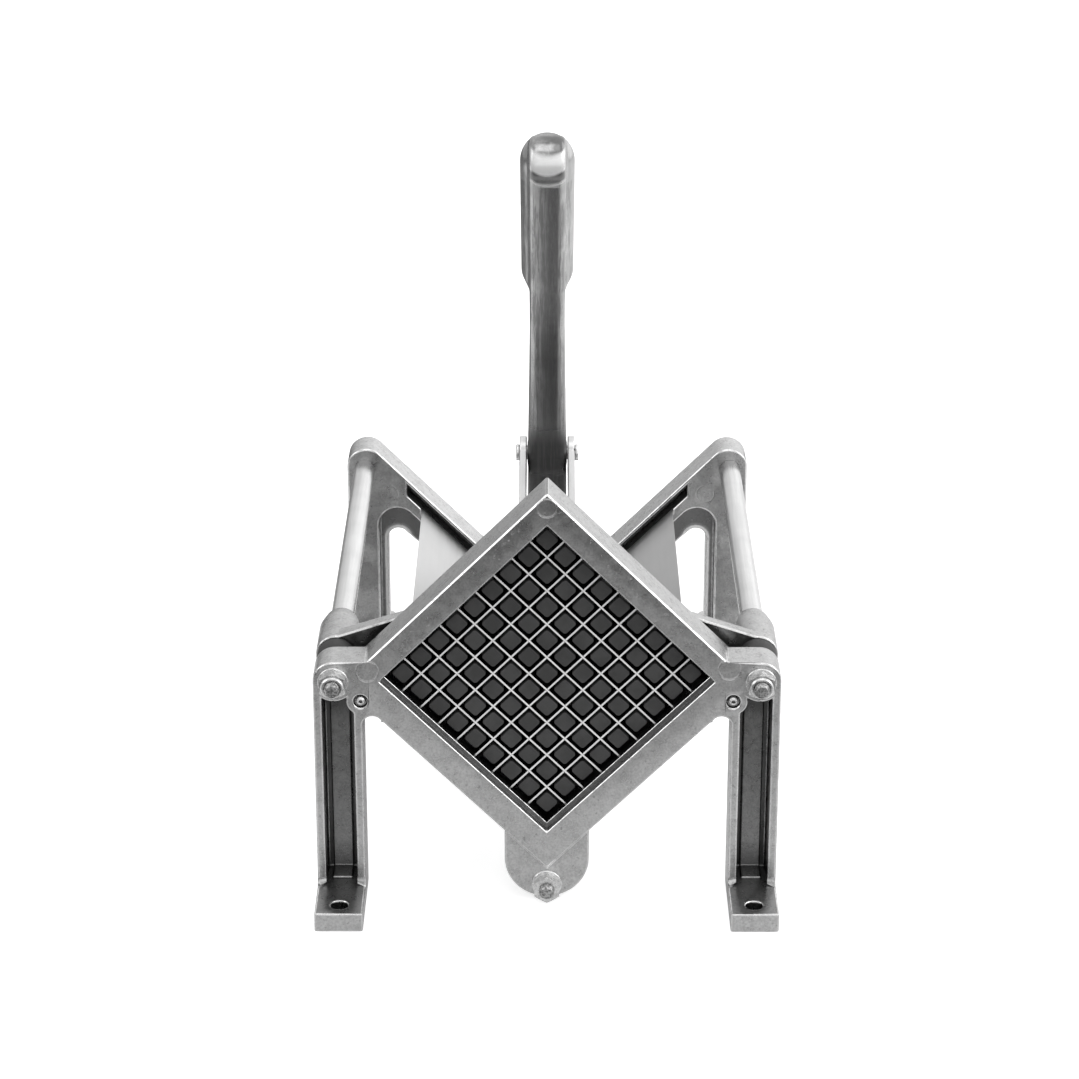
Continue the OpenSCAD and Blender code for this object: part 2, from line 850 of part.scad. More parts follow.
nose_at = grip_foot + (grip_len + nose_out) * grip_dir;

module lever_profile() {
    polygon(concat(
        [for (i = [0 : curve_steps]) bar_edge(i / curve_steps, bar_half)],
        [for (i = [0 : nose_steps]) nose_at + bar_half
            * (cos(180 * i / nose_steps) * grip_side + sin(180 * i / nose_steps) * grip_dir)],
        [for (i = [curve_steps : -1 : 0]) bar_edge(i / curve_steps, -bar_half)]
    ));
}

// Half outline of the round grip: a cone at the foot, a straight part and a domed end
module grip_outline() {
    polygon(concat(
        [[0, -grip_cone / 3], [bar_w / 2 - grip_bite, -grip_cone / 3], [grip_r, 2 * grip_cone / 3]],
        [for (i = [0 : nose_steps])
            [grip_r * cos(90 * i / nose_steps), grip_len + grip_r * sin(90 * i / nose_steps)]]
    ));
}

module lever() {
    color([0.55, 0.55, 0.55])
        difference() {
            union() {
                translate([0, pivot_y, pivot_z])
                    side_slab(-bar_w / 2, bar_w / 2)
                        lever_profile();
                along_x(pivot_y, pivot_z, hub_r, -hub_half_w, hub_half_w);
                along_x(pin_y, pin_z, bar_half - hub_step, -hub_half_w, hub_half_w);
                translate([0, pivot_y, pivot_z])
                    translate([0, grip_foot[0] + grip_set_back * grip_side[0],
                        grip_foot[1] + grip_set_back * grip_side[1]])
                        rotate([grip_lean, 0, 0])
                            rotate_extrude()
                                grip_outline();
            }
            along_x(pivot_y, pivot_z, pivot_r + bore_fit, -hub_half_w - past, hub_half_w + past);
            along_x(pin_y, pin_z, pin_r + bore_fit, -hub_half_w - past, hub_half_w + past);
        }
}

module link_right_side() {
    difference() {
        union() {
            translate([0, pin_y, pin_z])
                rotate([link_tilt, 0, 0])
                    translate([link_in, -link_len, -link_half_h])
                        cube([link_t, link_len, 2 * link_half_h]);
            along_x(pin_y, pin_z, link_end_r, link_in, link_out);
            along_x(lug_y, lug_z, link_end_r, link_in, link_out);
        }
        along_x(pin_y, pin_z, pin_r + bore_fit, link_in - past, link_out + past);
        along_x(lug_y, lug_z, pin_r + bore_fit, link_in - past, link_out + past);
    }
}

module link_left() {
    color([0.8, 0.8, 0.81])
        mirror([1, 0, 0])
            link_right_side();
}

module link_right() {
    color([0.8, 0.8, 0.81])
        link_right_side();
}

module link_pins() {
    color([0.76, 0.76, 0.77])
        for (p = [[pin_y, pin_z], [lug_y, lug_z]]) {
            along_x(p[0], p[1], pin_r, -link_out - pin_head_t / 2, link_out + pin_head_t / 2);
            along_x(p[0], p[1], pin_head_r, -link_out - pin_head_t, -link_out);
            along_x(p[0], p[1], pin_head_r, link_out, link_out + pin_head_t);
        }
}

// Carriage: a plate in the V of the trough with two arms, ribs and a slotted lug
lug_half_h = 11;
slot_len = 9.8;
slot_lean = 47;
slot_play = 1.3;
slot_r = pin_r + slot_play;
pusher_screw_at = 24;
plate_top = 61;
plate_gap = 4.6;
plate_low = trough_reach - plate_gap;
arm_x = 42;
arm_z = 21;
arm_lean = 20;
arm_root_share = 0.92;
arm_root_r = arm_root_share * slider_r;
rib_t = 6;
rib_depth = 12;

module carriage_plate_outline() {
    polygon([
        [0, plate_top],
        [arm_x, arm_z],
        [rod_half_span + arm_root_r * sin(arm_lean), rod_z + arm_root_r * cos(arm_lean)],
        [rod_half_span, rod_z - arm_root_r],
        [plate_low - lug_half_h + rod_z, -lug_half_h],
        [0, -plate_low]
    ]);
}

slot_way = [-sin(slot_lean), cos(slot_lean)];
lug_at = [lug_y, lug_z];

module lug_outline() {
    polygon(concat(
        [[carriage_y, lug_z - lug_half_h]],
        [for (i = [0 : nose_steps]) lug_at + lug_half_h
            * [sin(90 * i / nose_steps), -cos(90 * i / nose_steps)]],
        [for (i = [0 : nose_steps]) lug_at + [0, pin_r] + lug_half_h
            * [cos(90 * i / nose_steps), sin(90 * i / nose_steps)]],
        [[carriage_y, lug_z + pin_r + lug_half_h]]
    ));
}

module slot_outline() {
    side = [slot_way[1], -slot_way[0]];
    polygon(concat(
        [for (i = [0 : nose_steps]) lug_at + slot_r
            * (-cos(180 * i / nose_steps) * side - sin(180 * i / nose_steps) * slot_way)],
        [for (i = [0 : nose_steps]) lug_at + slot_len * slot_way + slot_r
            * (cos(180 * i / nose_steps) * side + sin(180 * i / nose_steps) * slot_way)]
    ));
}

module at_pusher_screws() {
    for (x = [-pusher_screw_at, pusher_screw_at])
        for (z = [-pusher_screw_at, pusher_screw_at])
            translate([x, 0, z])
                children();
}

module carriage() {
    color([0.64, 0.64, 0.63])
        difference() {
            union() {
                slab(carriage_y, plate_back_y)
                    both_sides_flat()
                        carriage_plate_outline();
                slab(carriage_y, carriage_y + rib_depth)
                    both_sides_flat()
                        translate([0, rod_z - rib_t / 2])
                            square([rod_half_span, rib_t]);
                slab(carriage_y, carriage_y + rib_depth)
                    translate([-rib_t / 2, rib_t - plate_top])
                        square([rib_t, 2 * plate_top - 3 * rib_t]);
                both_sides() {
                    along_y(rod_half_span, rod_z, slider_r,
                        carriage_y, carriage_y + slider_len - slider_r);
                    cone_y(rod_half_span, rod_z, slider_r, slider_end_r,
                        carriage_y + slider_len - slider_r, carriage_y + slider_len);
                }
                side_slab(-hub_half_w, hub_half_w)
                    lug_outline();
            }
            side_slab(-hub_half_w - past, hub_half_w + past)
                slot_outline();
            both_sides()
                along_y(rod_half_span, rod_z, bush_r, carriage_y - past, carriage_y + slider_len + past);
            at_pusher_screws()
                along_y(0, 0, screw_r + bolt_fit, carriage_y - past, plate_back_y + past);
        }
}

module guide_bushings() {
    color([0.7, 0.55, 0.3])
        both_sides()
            difference() {
                along_y(rod_half_span, rod_z, bush_r, carriage_y, carriage_y + slider_len);
                along_y(rod_half_span, rod_z, rod_r + bore_fit,
                    carriage_y - past, carriage_y + slider_len + past);
            }
}

module finger_outline() {
    square([finger_w, finger_w - 2 * finger_r], center = true);
    square([finger_w - 2 * finger_r, finger_w], center = true);
    for (x = [-1, 1])
        for (z = [-1, 1])
            translate([x * (finger_w / 2 - finger_r), z * (finger_w / 2 - finger_r)])
                circle(r = finger_r);
}

module pusher_block() {
    color([0.12, 0.12, 0.12])
        difference() {
            union() {
                slab(pusher_y, carriage_y)
                    rotate(45)
                        square(2 * pusher_half, center = true);
                slab(front_y + tip_setback, pusher_y + past)
                    rotate(45)
                        for (i = [0 : cell_count - 1])
                            for (j = [0 : cell_count - 1])
                                translate([blade_at(i + 0.5), blade_at(j + 0.5)])
                                    finger_outline();
            }
            at_pusher_screws()
                along_y(0, 0, screw_r + bore_fit, carriage_y - screw_bite - bolt_fit, carriage_y + past);
        }
}

module pusher_screws() {
    color([0.72, 0.72, 0.73])
        at_pusher_screws()
            difference() {
                union() {
                    along_y(0, 0, screw_r, carriage_y - screw_bite, plate_back_y + screw_head_h / 2);
                    along_y(0, 0, screw_head_r, plate_back_y, plate_back_y + screw_head_h);
                }
                nut_y(0, 0, screw_head_r,
                    plate_back_y + screw_head_h / 2, plate_back_y + screw_head_h + past);
            }
}

front_casting();
rear_casting();
guide_rod_left();
guide_rod_right();
lower_tie_rod();
trough();
blade_frame();
blades_falling();
blades_rising();
blade_frame_screws();
side_rod_nuts();
tie_rod_nuts();
rod_washers();
front_bumpers();
pivot_bolt();
pivot_nut();
lever();
link_left();
link_right();
link_pins();
carriage();
guide_bushings();
pusher_block();
pusher_screws();
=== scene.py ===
import math

import bmesh
import bpy
from bpy.props import FloatProperty, PointerProperty
from mathutils import Matrix, Vector


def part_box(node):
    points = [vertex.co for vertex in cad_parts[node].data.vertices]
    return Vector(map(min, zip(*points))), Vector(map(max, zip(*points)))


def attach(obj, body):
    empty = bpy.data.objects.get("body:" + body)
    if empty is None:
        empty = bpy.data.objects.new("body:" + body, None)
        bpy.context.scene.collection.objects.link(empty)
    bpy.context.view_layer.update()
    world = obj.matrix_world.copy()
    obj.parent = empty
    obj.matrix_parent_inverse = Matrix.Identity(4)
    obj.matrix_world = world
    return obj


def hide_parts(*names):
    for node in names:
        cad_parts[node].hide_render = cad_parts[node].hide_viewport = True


bl_info = {
    "name": "French fry cutter",
    "version": (1, 0, 0),
    "blender": (4, 5, 0),
    "location": "3D View > Sidebar > Fry Cutter",
    "description": "Dresses the packed french fry cutter and sets up its studio",
    "category": "Object",
}

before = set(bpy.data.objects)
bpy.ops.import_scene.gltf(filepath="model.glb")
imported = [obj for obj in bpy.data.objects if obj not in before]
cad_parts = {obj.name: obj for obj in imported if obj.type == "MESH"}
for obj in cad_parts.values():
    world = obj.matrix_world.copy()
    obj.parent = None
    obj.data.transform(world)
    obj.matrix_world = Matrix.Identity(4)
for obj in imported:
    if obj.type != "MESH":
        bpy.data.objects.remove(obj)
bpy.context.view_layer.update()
MM = 0.001

# Places in the frame, in metres
FRONT_Y = -0.1255       # front face of the front casting
REAR_Y = 0.1255         # rear face of the rear legs and of the lower tab
BOSS_Y = 0.124          # rear face of the rear rod bosses
TIE_FRONT_Y = -0.124    # seat of the tie rod's front washer
ROD_X, ROD_Z = 0.083, 0.0963
TIE_Z = 0.0075
LEG_X = 0.0815          # middle of the legs
FOOT_TOP = 0.008

# What the settings of one kind share
FACTOR = {"min": 0.0, "max": 1.0, "subtype": "FACTOR"}
LENGTH = {"unit": "LENGTH"}
FINE_LENGTH = {"min": 0.0001, "max": 0.002, "unit": "LENGTH"}


# ---------------------------------------------------------------- shader maths
class Wire:
    """A socket or a number in a material, so that shader maths reads as an expression."""

    def __init__(self, sheet, socket):
        self.sheet = sheet
        self.socket = socket

    def _math(self, operation, *values):
        return self.sheet.node("ShaderNodeMath", {"operation": operation},
                               {i: v for i, v in enumerate(values)})

    def __add__(self, other):
        return self._math("ADD", self, other)

    __radd__ = __add__

    def __sub__(self, other):
        return self._math("SUBTRACT", self, other)

    def __rsub__(self, other):
        return self._math("SUBTRACT", other, self)

    def __mul__(self, other):
        return self._math("MULTIPLY", self, other)

    __rmul__ = __mul__

    def __pow__(self, other):
        return self._math("POWER", self, other)

    def __abs__(self):
        return self._math("ABSOLUTE", self)

    def high(self, other):
        return self._math("MAXIMUM", self, other)

    def ramp(self, start, end):
        """0 below start, 1 above end, smooth between them."""
        return self.sheet.node("ShaderNodeMapRange", {"interpolation_type": "SMOOTHSTEP"},
                               {"Value": self, "From Min": start, "From Max": end})


class Sheet:
    """The node tree of one material, or of the world where one is given."""

    def __init__(self, name, world=None):
        self.material = world or bpy.data.materials.new(name)
        self.material.use_nodes = True
        self.tree = self.material.node_tree
        self.tree.nodes.clear()
        if world:
            self.output = self.tree.nodes.new("ShaderNodeOutputWorld")
            self.place = self.node("ShaderNodeTexCoord", {}, {}, "Generated")
            return
        self.shader = self.tree.nodes.new("ShaderNodeBsdfPrincipled")
        self.output = self.tree.nodes.new("ShaderNodeOutputMaterial")
        self.tree.links.new(self.shader.outputs["BSDF"], self.output.inputs["Surface"])
        self.place = self.node("ShaderNodeTexCoord", {}, {}, "Object")

    def node(self, kind, settings, values, out=0):
        """Adds a node: its type, its settings, and the values or wires of its sockets."""
        made = self.tree.nodes.new(kind)
        for key, value in settings.items():
            setattr(made, key, value)
        for key, value in values.items():
            self.feed(made.inputs[key], value)
        return Wire(self, made.outputs[out])

    def feed(self, socket, value):
        if isinstance(value, Wire):
            self.tree.links.new(value.socket, socket)
        else:
            socket.default_value = value

    def set(self, **values):
        """Feeds the shader's own sockets, named with _ for a space."""
        for key, value in values.items():
            self.feed(self.shader.inputs[key.replace("_", " ")], value)

    def noise(self, scale, detail=4.0, rough=0.55, stretch=None):
        where = self.place
        if stretch:
            where = self.node("ShaderNodeMapping", {}, {"Vector": where, "Scale": stretch}, "Vector")
        return self.node("ShaderNodeTexNoise", {},
                         {"Vector": where, "Scale": scale, "Detail": detail, "Roughness": rough})

    def blend(self, mask, low, high):
        """The colour low where mask is 0 and high where it is 1."""
        return self.node("ShaderNodeMix", {"data_type": "RGBA"},
                         {0: mask, 6: self.tone(low), 7: self.tone(high)}, 2)

    def tone(self, value):
        if isinstance(value, Wire):
            return value
        return (*value, 1.0) if len(value) == 3 else value

    def axis(self, name):
        return self.node("ShaderNodeSeparateXYZ", {}, {0: self.place}, name)

    def bump(self, height, strength, distance):
        self.feed(self.shader.inputs["Normal"],
                  self.node("ShaderNodeBump", {},
                            {"Height": height, "Strength": strength, "Distance": distance}))

    def open_air(self, reach):
        """1 on open faces, less in recesses narrower than reach."""
        return self.node("ShaderNodeAmbientOcclusion", {"samples": 6, "only_local": True},
                         {"Distance": reach}, "AO")

    def mark(self, name):
        """A face mark by name. The rounded-edge mark is 1 on rounded edges and carries their rubbing and
        painted highlight; ahead is 1 on faces that look forward and carries their painted shade.
        """
        return self.node("ShaderNodeAttribute", {"attribute_name": name}, {}, "Fac")

    def ring(self, x, z, radius, width):
        """A soft line round a point of the X and Z plane."""
        dx = self.axis("X") - x
        dz = self.axis("Z") - z
        far = (dx * dx + dz * dz) ** 0.5
        return 1.0 - (abs(far - radius)).ramp(0.0, width)


def grey(level):
    return (level, level, level)


def leg_panel_shade(sheet):
    """Painted shade: dark lines beside the raised panel of each front leg, and the shaded top of its foot."""
    off = abs(abs(sheet.axis("X")) - LEG_X)
    deep = sheet.axis("Y").ramp(-0.1135, -0.1125)
    low = 1.0 - sheet.axis("Z").ramp(0.083, 0.087)
    line = off.ramp(0.0039, 0.0043) * (1.0 - off.ramp(0.0062, 0.0064)) * deep * low
    foot = (1.0 - abs(sheet.axis("Z") - 0.0085).ramp(0.0006, 0.0009)) * (1.0 - off.ramp(0.0088, 0.0092))
    return (line * 0.95).high(foot * 0.6) * (1.0 - sheet.axis("Y").ramp(-0.1078, -0.107))


def arch_distance(sheet):
    """Distance from the middle line of the rear arches."""
    out = abs(sheet.axis("X")) - 0.0686
    up = (sheet.axis("Z") - 0.0594).high(0.0)
    return (out * out + up * up) ** 0.5


def rear_pocket(sheet):
    """Shade in the pocket round the rear arches."""
    deep = sheet.axis("Y").ramp(0.1076, 0.1086) * (1.0 - sheet.axis("Y").ramp(0.1157, 0.116))
    below = 1.0 - (sheet.axis("Z") - abs(sheet.axis("X"))).ramp(0.012, 0.013)
    return deep * below * arch_distance(sheet).ramp(0.0058, 0.008) * 0.9


def rear_lip_highlight(sheet):
    """Painted highlight on the lip round the window of each rear arch."""
    deep = sheet.axis("Y").ramp(0.112, 0.1125) * (1.0 - sheet.axis("Y").ramp(0.1164, 0.1168))
    low = 1.0 - sheet.axis("Z").ramp(0.068, 0.069)
    return deep * low * (1.0 - arch_distance(sheet).ramp(0.006, 0.0066))


def cast_aluminium(name, level, marks=(), extra_shade=None, face=0.0, shade=0.0, dark=0.12, lip=None):
    """Tumbled sand casting: fine grain, cloudy mottling, small pits, rubbed edges with a painted highlight,
    soot and painted shade in recesses, painted shade on forward faces, and ejector marks.

    marks are the X, Z and radius of the ejector marks, on faces before Y = face. shade is the strength of the
    painted shade on faces that look forward. dark is the share of the tone that is left in recesses.
    """
    sheet = Sheet(name)
    look = bpy.context.scene.fry_castings
    cloud = sheet.noise(60.0, 5.0, 0.6)
    blotch = sheet.noise(260.0, 4.0, 0.6)
    grain = sheet.noise(1100.0, 3.0, 0.65)
    pits = sheet.noise(620.0, 2.0, 0.5).ramp(0.64, 0.72)
    mottle = (cloud * 0.15 + blotch * 0.35 + grain * 0.5).ramp(0.38, 0.62)
    tint = sheet.blend(mottle, grey(level * (1 - look.mottle)), grey(level * (1 + look.mottle)))
    tint = sheet.blend(pits * 0.5, tint, grey(level * 0.45))
    # Recesses darken: partly soot, partly painted shade.
    open_air = sheet.open_air(0.014)
    soot_and_shade = (1.0 - open_air.ramp(0.35, 0.95)) * look.soot_and_shade
    # extra painted shade: the leg channels of the front casting and the pockets round the rear arches
    if extra_shade:
        soot_and_shade = soot_and_shade.high(extra_shade(sheet))
    # Painted shade on the faces that look forward, uneven with the clouds.
    if shade:
        uneven = 0.75 + 0.5 * cloud.ramp(0.4, 0.6)
        tint = sheet.blend(sheet.mark("ahead") * shade * uneven, tint, grey(level * 0.12))
    tint = sheet.blend(soot_and_shade, tint, grey(level * dark))
    # Rounded edges: rubbed metal and a painted highlight, lighter where open.
    worn_and_highlit = sheet.mark("worn_and_highlit") * (0.55 + 0.6 * blotch.ramp(0.35, 0.6)) * open_air.ramp(0.5, 0.75)
    # the painted highlight round the rear arch windows joins the edge mark
    if lip:
        worn_and_highlit = worn_and_highlit.high(lip(sheet) * 0.9)
    tint = sheet.blend(worn_and_highlit, tint, grey(look.edge_tone))
    sheet.set(Base_Color=tint, Metallic=look.metallic - soot_and_shade * (dark - 0.12) * 3.0,
              Roughness=look.rough + 0.16 * (blotch - 0.5) - 0.1 * worn_and_highlit)
    height = cloud * 0.5 + blotch * 0.5 + grain * 0.35 - pits * 0.5
    front = 1.0 - sheet.axis("Y").ramp(face, face + 0.0003)
    for x, z, radius in marks:
        height = height - 0.9 * sheet.ring(x, z, radius, 0.0005) * front
    sheet.bump(height, look.grain, 0.0004)
    return sheet.material


def polished_aluminium(name, level):
    """Buffed casting: wavy gloss, scratches along the lever, and painted highlights and painted shade on its
    bends.
    """
    sheet = Sheet(name)
    cloud = sheet.noise(70.0, 5.0, 0.6)
    scratch = sheet.noise(420.0, 4.0, 0.65, (3.0, 0.35, 0.35))
    streak = sheet.noise(260.0, 3.0, 0.7, (3.0, 0.12, 0.12)).ramp(0.44, 0.56)
    tint = sheet.blend((cloud * 0.6 + scratch * 0.4).ramp(0.35, 0.66), grey(level * 0.82), grey(level * 1.15))
    across = sheet.axis("X")
    high = sheet.axis("Z")
    back = high + sheet.axis("Y")
    # the bar: a dark hollow line and a darker low part, both painted shade, and streaks
    bar = 1.0 - high.ramp(0.2822, 0.283)
    hollow_shade = across.ramp(-0.005, 0.0022) * (1.0 - across.ramp(0.0038, 0.0048)) * bar
    tint = sheet.blend(hollow_shade * (0.45 + 0.8 * scratch), tint, grey(level * 0.22))
    near = 1.0 - back.ramp(0.17, 0.19) * (1.0 - high.ramp(0.15, 0.2))
    tint = sheet.blend((1.0 - high.ramp(0.135, 0.2)) * near * 0.85, tint, grey(level * 0.3))
    tint = sheet.blend(streak * bar * 0.6, tint, grey(level * 0.3))
    # painted shade round the link pin: dark, less metallic and rougher
    pin_shade = (1.0 - high.ramp(0.142, 0.156)) * (1.0 - back.ramp(0.168, 0.178))
    tint = sheet.blend(pin_shade * 0.95, tint, sheet.blend(streak, grey(0.035), grey(0.055)))
    # the nose, painted light and shade: a dark band, a darker cloudy crown, and a bright painted highlight
    # patch with a light line below it
    tip = high - 55.0 * across * across
    crown_edge = tip + 0.004 * (cloud - 0.5)
    narrow = 1.0 - abs(across).ramp(0.006, 0.0072)
    band = tip.ramp(0.2842, 0.285) * (1.0 - tip.ramp(0.2875, 0.2885)) * narrow
    tint = sheet.blend(band * 0.75, tint, grey(level * 0.3))
    crown = crown_edge.ramp(0.2955, 0.297) * narrow
    tint = sheet.blend(crown * cloud.ramp(0.35, 0.6), tint, grey(level * 0.35))
    patch = tip.ramp(0.2875, 0.289) * (1.0 - crown_edge.ramp(0.2945, 0.297)) * narrow
    line = (1.0 - abs(tip - 0.2835).ramp(0.0002, 0.0006)) * narrow
    # the patch and its line are painted highlight: pale and less metallic
    clear = patch.high(line * 0.7) * 0.85
    tint = sheet.blend(clear, tint, sheet.blend(cloud.ramp(0.3, 0.6), grey(0.6), grey(1.0)))
    sheet.set(Base_Color=tint, Metallic=1.0 - 0.9 * clear - 0.8 * pin_shade,
              Roughness=0.13 + 0.16 * cloud + 0.25 * pin_shade)
    sheet.bump(cloud * 0.7 + scratch * 0.3, 0.2, 0.0006)
    return sheet.material


def bright_steel(name, level, rough, stretch, depth=0.08, spread=0.1):
    """Drawn or brushed steel: fine lines along one axis."""
    sheet = Sheet(name)
    lines = sheet.noise(420.0, 4.0, 0.6, stretch)
    cloud = sheet.noise(60.0, 4.0, 0.5)
    tint = sheet.blend((lines * 0.6 + cloud * 0.4).ramp(0.3, 0.7), grey(level * (1 - spread)), grey(level))
    sheet.set(Base_Color=tint, Metallic=1.0, Roughness=rough + 0.14 * lines)
    sheet.bump(lines, depth, 0.0002)
    return sheet.material


def ground_blade_highlit(name, level):
    """Blade steel: ground front edge painted bright and less metallic as a highlight, darker flanks."""
    sheet = Sheet(name)
    # the ground front edge: a painted highlight
    edge = 1.0 - sheet.axis("Y").ramp(-0.11945, -0.1193)
    lines = sheet.noise(500.0, 3.0, 0.6)
    tint = sheet.blend(edge, grey(level * 0.2), grey(level))
    tint = sheet.blend(lines.ramp(0.4, 0.7) * 0.2, tint, grey(level * 0.8))
    sheet.set(Base_Color=tint, Metallic=1.0 - 0.75 * edge, Roughness=0.25 + 0.25 * edge)
    return sheet.material


def plated_steel(name, level):
    """Plated nuts and pins: bright, with painted shade in the recesses and rubbed rounded edges painted
    bright as a highlight.
    """
    sheet = Sheet(name)
    cloud = sheet.noise(300.0, 4.0, 0.6)
    fine = sheet.noise(1400.0, 3.0, 0.6)
    tint = sheet.blend((cloud * 0.5 + fine * 0.5).ramp(0.36, 0.64), grey(level * 0.75), grey(level * 1.15))
    # painted shade in the recesses
    tint = sheet.blend((1.0 - sheet.open_air(0.004).ramp(0.3, 0.9)) * 0.9, tint, grey(level * 0.1))
    # rounded edges: rubbing and painted highlight
    tint = sheet.blend(sheet.mark("worn_and_highlit") * 0.7, tint, grey(0.9))
    sheet.set(Base_Color=tint, Metallic=1.0, Roughness=0.2 + 0.14 * cloud)
    sheet.bump(cloud * 0.6 + fine * 0.4, 0.2, 0.0002)
    return sheet.material


def rod_steel(name, level):
    """Ground rod with duller threaded ends."""
    sheet = Sheet(name)
    lines = sheet.noise(420.0, 4.0, 0.6, (1.0, 0.03, 1.0))
    cloud = sheet.noise(60.0, 4.0, 0.5)
    tint = sheet.blend((lines * 0.6 + cloud * 0.4).ramp(0.3, 0.7), grey(level * 0.88), grey(level * 1.06))
    stud = abs(sheet.axis("Y") + 0.002).ramp(0.1152, 0.1158)
    speck = sheet.noise(1200.0, 3.0, 0.6).ramp(0.4, 0.6)
    tint = sheet.blend(stud, tint, sheet.blend(speck, grey(level * 0.22), grey(level * 0.6)))
    sheet.set(Base_Color=tint, Metallic=1.0, Roughness=0.16 + 0.14 * lines + 0.2 * stud)
    sheet.bump(lines, 0.08, 0.0002)
    return sheet.material


def black_polymer(name, level):
    """Moulded black block: faint sheen and a fine spark texture."""
    sheet = Sheet(name)
    spark = sheet.noise(900.0, 3.0, 0.6)
    cloud = sheet.noise(90.0, 4.0, 0.6)
    tint = sheet.blend(cloud.ramp(0.35, 0.65), grey(level * 0.85), grey(level * 1.2))
    sheet.set(Base_Color=tint, Metallic=0.0, Roughness=0.42 + 0.15 * cloud)
    sheet.bump(spark * 0.6 + cloud * 0.4, 0.12, 0.0002)
    return sheet.material


def soft_rubber(name, level):
    """Dull rubber with a cloudy tone."""
    sheet = Sheet(name)
    cloud = sheet.noise(150.0, 4.0, 0.6)
    sheet.set(Base_Color=sheet.blend(cloud.ramp(0.35, 0.65), grey(level * 0.8), grey(level * 1.3)),
              Metallic=0.0, Roughness=0.5 + 0.2 * cloud)
    sheet.bump(cloud, 0.15, 0.0003)
    return sheet.material


def bearing_bronze(name):
    """Cloudy bearing bronze."""
    sheet = Sheet(name)
    cloud = sheet.noise(200.0, 4.0, 0.6)
    sheet.set(Base_Color=sheet.blend(cloud.ramp(0.35, 0.65), (0.42, 0.27, 0.11), (0.6, 0.42, 0.2)),
              Metallic=1.0, Roughness=0.35 + 0.2 * cloud)
    sheet.bump(cloud, 0.1, 0.0003)
    return sheet.material


_made = {}


def finish_of(kind):
    """The material of one finish, made once."""
    if kind in _made:
        return _made[kind]
    look = bpy.context.scene.fry_castings
    metal = bpy.context.scene.fry_metals
    front_marks = [(-0.0697, 0.1006, 0.0043), (0.0708, 0.1016, 0.0043), (0.0, 0.1686, 0.0038)]
    rear_marks = [(-0.0722, 0.0845, 0.004), (0.0722, 0.0845, 0.004)]
    makers = {
        "front_cast": lambda: cast_aluminium("front_cast_aluminium", look.front_tone, front_marks,
                                             leg_panel_shade, -0.1254),
        # rear casting: painted shade on forward faces and in the arch pockets, and a painted highlight on the
        # arch lips
        "rear_cast": lambda: cast_aluminium("rear_cast_aluminium", look.rear_tone, rear_marks,
                                            rear_pocket, 0.1066, 0.5, 0.22, rear_lip_highlight),
        # carriage: painted shade on the faces that look forward
        "carriage_cast": lambda: cast_aluminium("carriage_aluminium", look.carriage_tone, shade=0.75),
        "frame_cast": lambda: cast_aluminium("blade_frame_aluminium", look.blade_frame_tone),
        "lever": lambda: polished_aluminium("lever_aluminium", metal.lever_tone),
        "rod": lambda: rod_steel("ground_rod_steel", metal.rod_tone),
        "sheet": lambda: bright_steel("brushed_sheet_steel", metal.sheet_tone, 0.38, (1.0, 0.05, 1.0),
                                      0.03, 0.05),
        "link": lambda: bright_steel("link_strip_steel", metal.link_tone, 0.28, (1.0, 0.2, 0.2)),
        "blade": lambda: ground_blade_highlit("blade_steel", metal.blade_tone),
        "plated": lambda: plated_steel("plated_steel", metal.plated_tone),
        "polymer": lambda: black_polymer("pusher_polymer", metal.polymer_tone),
        "rubber": lambda: soft_rubber("bumper_rubber", metal.rubber_tone),
        "bronze": lambda: bearing_bronze("bushing_bronze"),
    }
    _made[kind] = makers[kind]()
    return _made[kind]


# ---------------------------------------------------------------- mesh helpers
def link_object(name, data):
    """A new object in the scene."""
    made = bpy.data.objects.new(name, data)
    bpy.context.scene.collection.objects.link(made)
    return made


def place_piece(name, mesh, body, finish, nodes=(), smooth_angle=35.0):
    """Links a finished mesh, gives it its finish and ties it to its body and nodes."""
    piece = link_object(name, mesh)
    mesh.materials.clear()
    mesh.materials.append(finish_of(finish))
    for face in mesh.polygons:
        face.use_smooth = True
    mesh.set_sharp_from_angle(angle=math.radians(smooth_angle))
    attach(piece, body)
    if nodes:
        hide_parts(*nodes)
    return piece


def merged_copy(node):
    """A bmesh of a frame node with its loose triangles joined and its flats made whole."""
    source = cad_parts[node]
    shape = bmesh.new()
    shape.from_mesh(source.data)
    bmesh.ops.remove_doubles(shape, verts=shape.verts, dist=2e-6)
    bmesh.ops.dissolve_limit(shape, angle_limit=math.radians(0.4), verts=shape.verts, edges=shape.edges)
    return shape


def soften(shape, width, segments=2, angle=28.0, choose=None, wear_and_highlight=1.0):
    """Rounds every edge sharper than angle that choose accepts."""
    edges = []
    for edge in shape.edges:
        if len(edge.link_faces) == 2 and edge.calc_face_angle(0.0) > math.radians(angle):
            if choose is None or choose(edge):
                edges.append(edge)
    worn_and_highlit = shape.faces.layers.float.get("worn_and_highlit") or shape.faces.layers.float.new("worn_and_highlit")
    edges = [edge for edge in edges if not any(face[worn_and_highlit] for face in edge.link_faces)]
    made = bmesh.ops.bevel(shape, geom=edges, offset=width, offset_type="OFFSET", affect="EDGES",
                           segments=segments, profile=0.5, material=-1, clamp_overlap=False)
    # the rounded faces get the mark of rubbing and painted highlight
    for face in made["faces"]:
        face[worn_and_highlit] = wear_and_highlight
    bmesh.ops.remove_doubles(shape, verts=shape.verts, dist=1e-6)
    # faces that look forward get the mark for painted shade
    ahead = shape.faces.layers.float.get("ahead") or shape.faces.layers.float.new("ahead")
    for face in shape.faces:
        face[ahead] = float(face.normal.y < -0.6)


